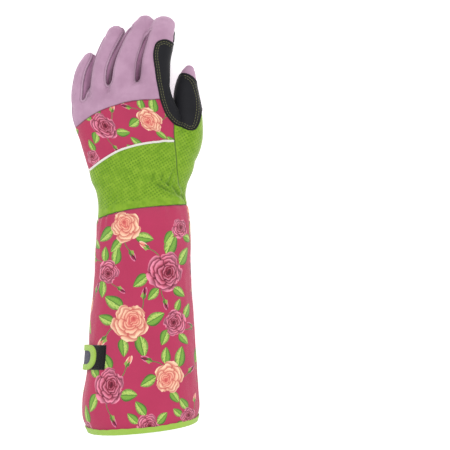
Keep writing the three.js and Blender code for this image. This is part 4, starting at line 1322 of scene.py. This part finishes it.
def petal_ring_group():
    """One ring of petals: laid over a colour within a scalloped outline, with its shadow round it."""
    inputs = {"Color": "Under Edge Body Shade", "Float": "Radius Angle Size Petals Phase Shadow"}
    tree, n, given, made = new_group("petal_ring", inputs, MOTIF)
    body, shade, angle = given["Body"], given["Shade"], given["Angle"]
    scallop = abs(n.math("COSINE", (angle - given["Phase"]) * (given["Petals"] * 0.5)))
    share = given["Radius"] / (given["Size"] * (scallop**0.5 * 0.22 + 0.78))
    under = n.mix(n.step(share, 1.3, 0.98) * given["Shadow"], given["Under"], shade)
    colour = n.mix(n.step(share, 0.72, 0.95) * (scallop * 0.7 + 0.3), body, given["Edge"])
    colour = n.mix(n.step(share, 0.84, 0.5) * 0.42, colour, shade)
    fold = n.step(scallop, 0.22, 0.03) * n.step(share, 0.45, 0.8)
    colour = n.mix(fold * 0.85, colour, shade)
    streak = n.step(n.math("SINE", angle * 23.0), 0.2, 1.0) * n.step(share, 0.95, 0.7)
    colour = n.mix(streak * 0.2, colour, shade)
    mask = n.step(share, 1.02, 0.98)
    n.join(made["Color"], n.mix(mask, under, colour))
    n.join(made["Mask"], mask)
    return tree


def bloom_group():
    """An open rose seen from the front, in its own round coordinates. Kind 0 is pink and 1 is peach."""
    tree, n, given, made = new_group("bloom", {"Vector": "Place"}, MOTIF)
    x, y, kind = n.split(given["Place"])
    flat = n.joined(x, y, kind * 7.0)
    shift = n.vector("SUBTRACT", n.noise(1.9, 2.0, flat, output="Color"), (0.5, 0.5, 0.5))[0]
    shift = n.vector("MULTIPLY", shift, (0.42, 0.42, 0.0))[0]
    x, y, _ = n.split(n.vector("ADD", flat, shift)[0])
    peach = n.math("GREATER_THAN", kind, 0.5)
    edge, body, deep, shade = (n.mix(peach, *tones) for tones in zip(PINK, PEACH))
    ring = petal_ring_group()
    colour, mask = GROUND[1], None
    for size, petals, phase, off, depth in PETAL_RINGS:
        cx = x - 0.16 * off
        cy = y + 0.1 * off
        radius = (cx * cx + cy * cy) ** 0.5
        out = n.group(ring, Under=colour, Radius=radius, Angle=n.math("ARCTAN2", cy, cx) + radius * 0.9,
                      Size=size, Petals=float(petals), Phase=phase, Shadow=0.8 if mask else 0.0,
                      Edge=n.mix(depth * 0.4, edge, deep), Body=n.mix(depth, body, deep), Shade=shade)
        colour, mask = out["Color"], mask or out["Mask"]
    n.join(made["Color"], n.mix(n.step(radius, 0.12, 0.03) * 0.85, colour, shade))
    n.join(made["Mask"], mask)
    return tree


def leaf_group():
    """A rose leaf along its own x from -1 to 1, light in the middle, with midrib, veins and a short stalk."""
    tree, n, given, made = new_group("leaf", {"Vector": "Place"}, MOTIF)
    x, y, _ = n.split(given["Place"])
    y = y - n.math("SINE", x * 1.5) * 0.09
    away = abs(y)
    belly = n.math("MAXIMUM", 1.0 - x * x, 0.0) ** 0.72
    saw = n.math("PINGPONG", x * 4.2, 0.5) * 0.08
    share = away / n.math("MAXIMUM", belly * (x * -0.28 + 1.0) * 0.62 - saw, 0.001)
    light = n.step(y, -0.03, 0.05)
    colour = n.mix(light, srgb(124, 174, 68), srgb(190, 218, 112))
    brushed = n.noise(3.2, 2.0, n.joined(x, y * 2.5))
    colour = n.mix(n.step(brushed, 0.45, 0.7), colour, srgb(104, 160, 58))
    vein = n.step(n.math("PINGPONG", x * 4.4 - away * 5.5, 0.5), 0.1, 0.02)
    colour = n.mix(vein * 0.6, colour, srgb(62, 118, 46))
    colour = n.mix(n.step(share, 0.5, 0.98) * (0.95 - light * 0.25), colour, srgb(48, 98, 40))
    colour = n.mix(n.step(away, 0.05, 0.02), colour, srgb(70, 122, 48))
    stalk = n.step(away, 0.07, 0.04) * n.band(x, -1.5, -1.4, -0.95, -0.9)
    n.join(made["Color"], n.mix(stalk, colour, srgb(96, 118, 58)))
    n.join(made["Mask"], n.math("MAXIMUM", n.step(share, 1.04, 0.96), stalk))
    return tree


def bud_group():
    """A closed bud along its own x from -1 to 1 on a thin curved stem. Kind 0 is dark pink and 1 is peach."""
    tree, n, given, made = new_group("bud", {"Vector": "Place"}, MOTIF)
    x, y, kind = n.split(given["Place"])
    stem_y = y - n.math("SINE", (x + 0.8) * 0.9) * 0.4 * n.step(x, -0.7, -1.0)
    stem = n.step(abs(stem_y), 0.11, 0.06) * n.band(x, -3.9, -3.7, -0.8, -0.6)
    knot = (x + 1.05) * (x + 1.05) + stem_y * stem_y
    stem = n.math("MAXIMUM", stem, n.step(knot, 0.07, 0.04))
    along = (x - 0.12) / 0.9
    across = y / (x * -0.13 + 0.5)
    away = (along * along + across * across) ** 0.5
    peach = n.math("GREATER_THAN", kind, 0.5)
    body = n.mix(peach, srgb(150, 44, 80), srgb(240, 156, 136))
    edge = n.mix(peach, srgb(226, 130, 164), srgb(250, 214, 190))
    dark = n.mix(peach, srgb(62, 14, 32), srgb(206, 92, 90))
    fold = abs(y - n.math("SINE", x * 2.4) * 0.2)
    colour = n.mix(n.step(away, 0.5, 0.95), body, edge)
    colour = n.mix(n.step(fold, 0.15, 0.04), colour, dark)
    tooth = n.math("PINGPONG", y * 2.2 + 0.5, 0.5) * 1.3
    calyx = n.step(x + tooth, 0.1, 0.04) * n.step(abs(y) / 0.5, 1.05, 0.9) * n.step(x, -1.0, -0.9)
    green = n.mix(n.step(y, -0.08, 0.08), srgb(78, 122, 50), srgb(140, 176, 78))
    whole = n.math("MAXIMUM", calyx, stem)
    n.join(made["Color"], n.mix(whole, colour, green))
    n.join(made["Mask"], n.math("MAXIMUM", n.step(away, 1.04, 0.95), whole))
    return tree


def printed_cotton():
    """Printed cotton: a magenta ground, an all-over rose print, a fine weave and painted shade in the grooves
    of its seams.
    """
    n, painted = new_paint("printed_cotton", roughness=0.85, specular=0.2, sheen=0.25)
    cloth = n.cloth()
    colour = mottled(n, cloth, 38.0, *GROUND)
    for layer, group in (("leaves", leaf_group()), ("buds", bud_group()), ("blooms", bloom_group())):
        out = n.group(group, Place=n.attribute(layer, "Vector"))
        colour = n.mix(out["Mask"], colour, out["Color"])
    colour = n.mix(n.noise(900.0, 1.0, cloth) * 0.16, colour, srgb(120, 40, 70))
    weave = n.group(WEAVE, Place=cloth, Warp=0.0007, Weft=0.0007)["Height"]
    slub = n.noise(260.0, 3.0, cloth) * 2.5 + weave
    # Painted shade in the seam's groove.
    return painted(shaded(n, colour, srgb(96, 22, 48), 0.2, 1.3, 0.7), n.bump(slub, 0.00006))


# The other finishes

LIME = (srgb(152, 190, 66), srgb(168, 204, 88))
LILAC = (srgb(169, 132, 157), srgb(186, 149, 174))
# Painted shade in the grooves of the lilac leather's seams.
LILAC_GROOVE_SHADE = srgb(128, 88, 112)
# The side strips' lilac: the same leather, darker as painted shade.
LILAC_IN_PAINTED_SHADE = (srgb(142, 100, 128), srgb(160, 118, 146))


def suede(name, colours, groove_shade):
    """Napped leather: soft mottling, a fine nap and rolled edges beside its seams, with a painted highlight
    on the rolled crests and painted shade in the stitch grooves, the seams and the clefts.
    """
    n, painted = new_paint(name, roughness=0.95, specular=0.15, sheen=0.35, sheen_tint=(1.0, 0.9, 0.97, 1))
    place, seam, rolled = n.place(), n.attribute("seam"), n.attribute("rolled")
    colour = n.mix(n.step(n.noise(55.0, 4.0, place, 0.6), 0.3, 0.7), *colours)
    nap = n.noise(1500.0, 3.0, place, 0.7)
    colour = n.mix(nap * 0.3, colour, colours[0])
    crest_and_highlight = n.band(seam, 0.4, 1.0, 1.4, 2.2) * rolled
    stitch_groove = n.band(seam, 2.0, 2.5, 2.7, 3.2) * rolled
    # A painted highlight along each rolled crest, and painted shade in the groove of its topstitching.
    colour = n.mix(crest_and_highlight * 0.25, colour, srgb(222, 190, 212))
    colour = n.mix(stitch_groove * 0.16, colour, groove_shade)
    # Painted shade in the seam's groove.
    colour = shaded(n, colour, groove_shade, 0.1, 0.9, 0.6)
    # Painted shade deep in the clefts of the side strips.
    colour = n.mix(n.step(n.attribute("sunk"), 0.05, 1.0), colour, srgb(80, 46, 68))
    return painted(colour, n.bump(nap, 0.00022, n.bump(crest_and_highlight - stitch_groove * 0.7, 0.0005)))


def knit(name):
    """Stretch knit with rows of small dimples, plain in a band beside its seams, with painted shade in its
    creases and seams.
    """
    n, painted = new_paint(name, roughness=0.8, specular=0.25, sheen=0.4, sheen_tint=(0.9, 1.0, 0.6, 1))
    cloth, place = n.cloth(), n.place()
    x, y, _ = n.split(cloth)
    x = x + n.noise(180.0, 1.0, cloth) * 0.0014
    y = y + n.noise(150.0, 1.0, cloth) * 0.0014
    rows = [n.math("COSINE", across / KNIT_PITCH * (2 * math.pi))
            for across in (x * 0.866 + y * 0.5, y * 0.866 - x * 0.5)]
    dimple = n.step(rows[0] + rows[1], -0.1, 1.6) * n.step(n.attribute("seam"), 0.8, 2.2)
    dimple = dimple * (1.0 - n.attribute("plain"))
    pulled = n.step(n.noise(70.0, 2.0, place), 0.35, 0.65) * 0.45 + 0.4
    colour = n.mix(n.step(n.noise(160.0, 4.0, place, 0.6), 0.3, 0.7), srgb(108, 149, 25), srgb(130, 168, 41))
    colour = n.mix(dimple * pulled, colour, srgb(82, 126, 14))
    # Painted shade in the creases, darker where they press in deeper.
    colour = n.mix(n.step(n.attribute("crease"), 0.1, 1.6) * 0.75, colour, srgb(74, 112, 18))
    relief = n.wave(x, 0.0009) * 0.12 - dimple
    # Painted shade in the seam's groove.
    return painted(shaded(n, colour, srgb(76, 112, 22), 0.2, 1.0), n.bump(relief, 0.0003))


def patch_leather():
    """Black synthetic leather with a rolled rim and two sunk rows for its stitches."""
    n, painted = new_paint("black_leather", roughness=0.65, specular=0.18, sheen=0.04)
    place, seam = n.place(), n.attribute("seam")
    colour = mottled(n, place, 80.0, srgb(18, 18, 22), srgb(28, 28, 33))
    colour = shaded(n, colour, srgb(22, 22, 22), 1.6, 2.6, 0.5)
    colour = n.mix(n.band(seam, 2.4, 3.0, 4.3, 4.9) * 0.35, colour, srgb(48, 50, 42))
    grain = n.add("TexVoronoi", {"Scale": 1100.0, "Vector": place})["Distance"]
    return painted(colour, n.bump(grain, 0.00012, n.bump(n.band(seam, 0.0, 0.8, 1.5, 2.4), 0.0006)))


def tape(name):
    """Woven lime binding tape with a fine twill."""
    n, painted = new_paint(name, roughness=0.75, specular=0.25, sheen=0.3)
    place = n.place()
    twill = n.group(TWILL, Place=place, Across=(1, 1, 1), Pitch=0.0007)["Height"]
    colour = n.mix(n.step(twill, 0.2, 0.9) * 0.12, mottled(n, place, 70.0, *LIME), srgb(110, 150, 50))
    return painted(colour, n.bump(twill, 0.00007))


def webbing():
    n, painted = new_paint("navy_webbing", roughness=0.7, specular=0.3, sheen=0.2)
    weave = n.group(WEAVE, Place=n.cloth(), Warp=0.0016, Weft=0.0011)["Height"]
    colour = n.mix(n.step(weave, -0.5, 0.9), srgb(44, 42, 62), srgb(72, 68, 94))
    return painted(colour, n.bump(weave, 0.00018))


def loop_tape():
    n, painted = new_paint("black_loop_tape", roughness=0.95, specular=0.15, sheen=0.3)
    fuzz = n.noise(1700.0, 4.0, n.place(), 0.75)
    return painted(n.mix(n.step(fuzz, 0.35, 0.7), srgb(8, 8, 9), srgb(26, 24, 25)), n.bump(fuzz, 0.0005))


def piping_cloth():
    n, painted = new_paint("white_piping_cloth", roughness=0.75, specular=0.3, sheen=0.2)
    twist = n.group(TWILL, Place=n.place(), Across=(1, 0.8, 0), Pitch=0.0011)["Height"]
    colour = n.mix(n.step(twist, -0.6, 0.6), srgb(214, 210, 202), srgb(244, 242, 236))
    return painted(colour, n.bump(twist, 0.00012))


def lining():
    """Plain cloth inside the cuff."""
    n, painted = new_paint("plain_lining", roughness=0.9, specular=0.15, sheen=0.2)
    place = n.place()
    colour = mottled(n, place, 60.0, srgb(186, 178, 176), srgb(206, 200, 196))
    return painted(colour, n.bump(n.noise(1400.0, 2.0, place), 0.0002))


def thread():
    n, painted = new_paint("olive_thread", roughness=0.6, specular=0.4)
    olive = srgb(118, 116, 76)
    return painted(mottled(n, n.place(), 2500.0, olive, (*[c * 0.7 for c in olive[:3]], 1), detail=1.0))


# Camera, light and floor

PHOTO_PIXEL = 0.98  # millimetres that a pixel of the view covers
PHOTO_CENTRE = (86.27, 0.16)  # what the view looks at, in millimetres of the frame
PHOTO_PIXELS = 450
CAMERA_HEIGHT = 9.0  # metres
GLOVE_MIDDLE = 0.022  # the height at which a pixel covers that much
SENSOR = 36


def add_camera():
    camera = bpy.data.objects.new("camera", bpy.data.cameras.new("camera"))
    bpy.context.scene.collection.objects.link(camera)
    camera.location = (PHOTO_CENTRE[0] * MM, PHOTO_CENTRE[1] * MM, CAMERA_HEIGHT)
    seen = PHOTO_PIXELS * PHOTO_PIXEL * MM
    camera.data.sensor_width = SENSOR
    camera.data.lens = SENSOR * (CAMERA_HEIGHT - GLOVE_MIDDLE) / seen
    bpy.context.scene.camera = camera


def add_light(name, place, size, power):
    light = bpy.data.objects.new(name, bpy.data.lights.new(name, "AREA"))
    light.data.size = size
    light.data.energy = power
    light.location = place
    light.rotation_euler = (Vector((0, 0, 0)) - Vector(place)).to_track_quat("-Z", "Y").to_euler()
    bpy.context.scene.collection.objects.link(light)


def add_stage():
    bpy.ops.object.select_all(action="DESELECT")
    bpy.ops.mesh.primitive_plane_add(size=12, location=(0, 0, -0.0005))
    floor = bpy.context.view_layer.objects.active
    floor.name = "floor"
    paint = bpy.data.materials.new("floor_paint")
    paint.use_nodes = True
    shader = paint.node_tree.nodes["Principled BSDF"]
    shader.inputs["Base Color"].default_value = (0.9, 0.9, 0.9, 1)
    shader.inputs["Roughness"].default_value = 0.9
    shader.inputs["Emission Color"].default_value = (1, 1, 1, 1)
    shader.inputs["Emission Strength"].default_value = 0.5
    floor.data.materials.append(paint)
    world = bpy.data.worlds.new("studio")
    world.use_nodes = True
    world.node_tree.nodes["Background"].inputs["Color"].default_value = (1, 1, 1, 1)
    world.node_tree.nodes["Background"].inputs["Strength"].default_value = 0.75
    bpy.context.scene.world = world
    bpy.context.scene.view_settings.view_transform = "Standard"
    add_light("key", (-0.35, 0.45, 2.1), 1.4, 16.2)
    add_light("fill", (0.6, -0.3, 1.9), 2.0, 11.4)


# Putting the glove together

def make_panels(skin, points, cotton):
    """The panels of leather, knit and printed cloth, cut out of the skin of the hand."""
    paints = {"finger_backs": suede("lilac_suede", LILAC, LILAC_GROOVE_SHADE),
              "thumb": suede("lilac_suede_thumb", LILAC, LILAC_GROOVE_SHADE),
              "palm": suede("lilac_suede_palm", LILAC, LILAC_GROOVE_SHADE),
              "knuckle_panel": cotton,
              "wrist_back": knit("green_knit"),
              "thumb_gusset": knit("green_knit_side")}
    # The side strips: the same suede in painted shade, with darker painted shade in their seams.
    strip_paint = suede("shaded_suede", LILAC_IN_PAINTED_SHADE, srgb(88, 52, 76))
    for number, name in enumerate(PANELS):
        piece, used = skin.cut(name + "_panel", skin.label == number, points)
        flat = np.column_stack([wrapped_x(points[used]), points[used][:, 1]])
        if name == "thumb_gusset":
            flat[:, 0] = points[used] @ GUSSET_ACROSS
        loops = np.empty(len(piece.data.loops), int)
        piece.data.loops.foreach_get("vertex_index", loops)
        corners = flat[loops].reshape(-1, 4, 2)
        if name == "knuckle_panel":
            print_roses(piece, corners * PANEL_SCALE + PANEL_PRINT)
        else:
            store_uv(piece, corners)
        x, y = points[used][:, :2].T
        above_cuff, above_print = y - seam_y(CUFF_SEAM, x), y - seam_y(KNUCKLE_SEAM, x)
        band = PLAIN_BAND + 0.8 * np.sin(x * 0.4)
        store(piece, "plain", np.clip((band - above_cuff) / 1.2, 0, 1))
        store(piece, "rolled", np.clip((above_print - ROLL_STARTS) / 3, 0, 1) * (name == "finger_backs"))
        # How deep the creases press in, which the knit darkens as painted shade.
        store(piece, "crease", np.maximum(crease_depth(points[used]), 0))
        if number >= FIRST_STRIP:
            # How much painted shade each place on a side strip takes, deep in its cleft.
            store(piece, "sunk", cleft_shade_share(number - FIRST_STRIP, points[used]))
        apply_modifier(piece, "SOLIDIFY", thickness=LEATHER * MM, offset=-1)
        finish_piece(piece, name, paints.get(name, strip_paint))


def make_overlays(base_points, faces):
    """The crotch patch and the tip pad, laid over the skin."""
    cover = Skin(base_points, faces, patch_of)
    away = cover.seam_distance
    high, middle, reach = PATCH_RIM
    rim = high * np.exp(-(((away - middle) / reach) ** 2))
    tucked = np.clip(away / PATCH_EDGE, 0, 1) ** 0.5
    thinned = 0.4 + 0.6 * np.clip(np.abs(cover.normals[:, 2]) / 0.5, 0, 1)
    lift = PATCH_STANDS_OFF + (PATCH_THICKNESS * tucked + rim) * thinned
    points = cover.points + cover.normals * lift[:, None]
    points[:, 2] = np.maximum(points[:, 2], 0)
    leather = patch_leather()
    for number, name, node in ((1, "crotch_reinforcement", "crotch_patch"),
                               (2, "tip_reinforcement", "index_tip_pad")):
        piece, _ = cover.cut(name, cover.label == number, points)
        apply_modifier(piece, "SOLIDIFY", thickness=PATCH_THICKNESS * MM, offset=-1)
        finish_piece(piece, node, leather)
    tree = tree_of(points, cover.faces[cover.label == 1])
    lines = [offset_line(PATCH_CURVE[12:-6], inset) for inset in STITCH_ROWS]
    make_stitches("patch_stitches", lines, tree, thread())


def build():
    base_points, faces = hand_surface()
    skin = Skin(base_points, faces, panel_of, pointed=range(FIRST_STRIP, len(PANELS)))
    points = dressed(skin)
    cotton = printed_cotton()
    make_panels(skin, points, cotton)
    make_overlays(base_points, faces)
    make_piping(tree_of(points, skin.faces))
    make_cuff(cotton)
    make_hem_binding()
    make_loop_patch()
    make_strap()


add_camera()
add_stage()
build()
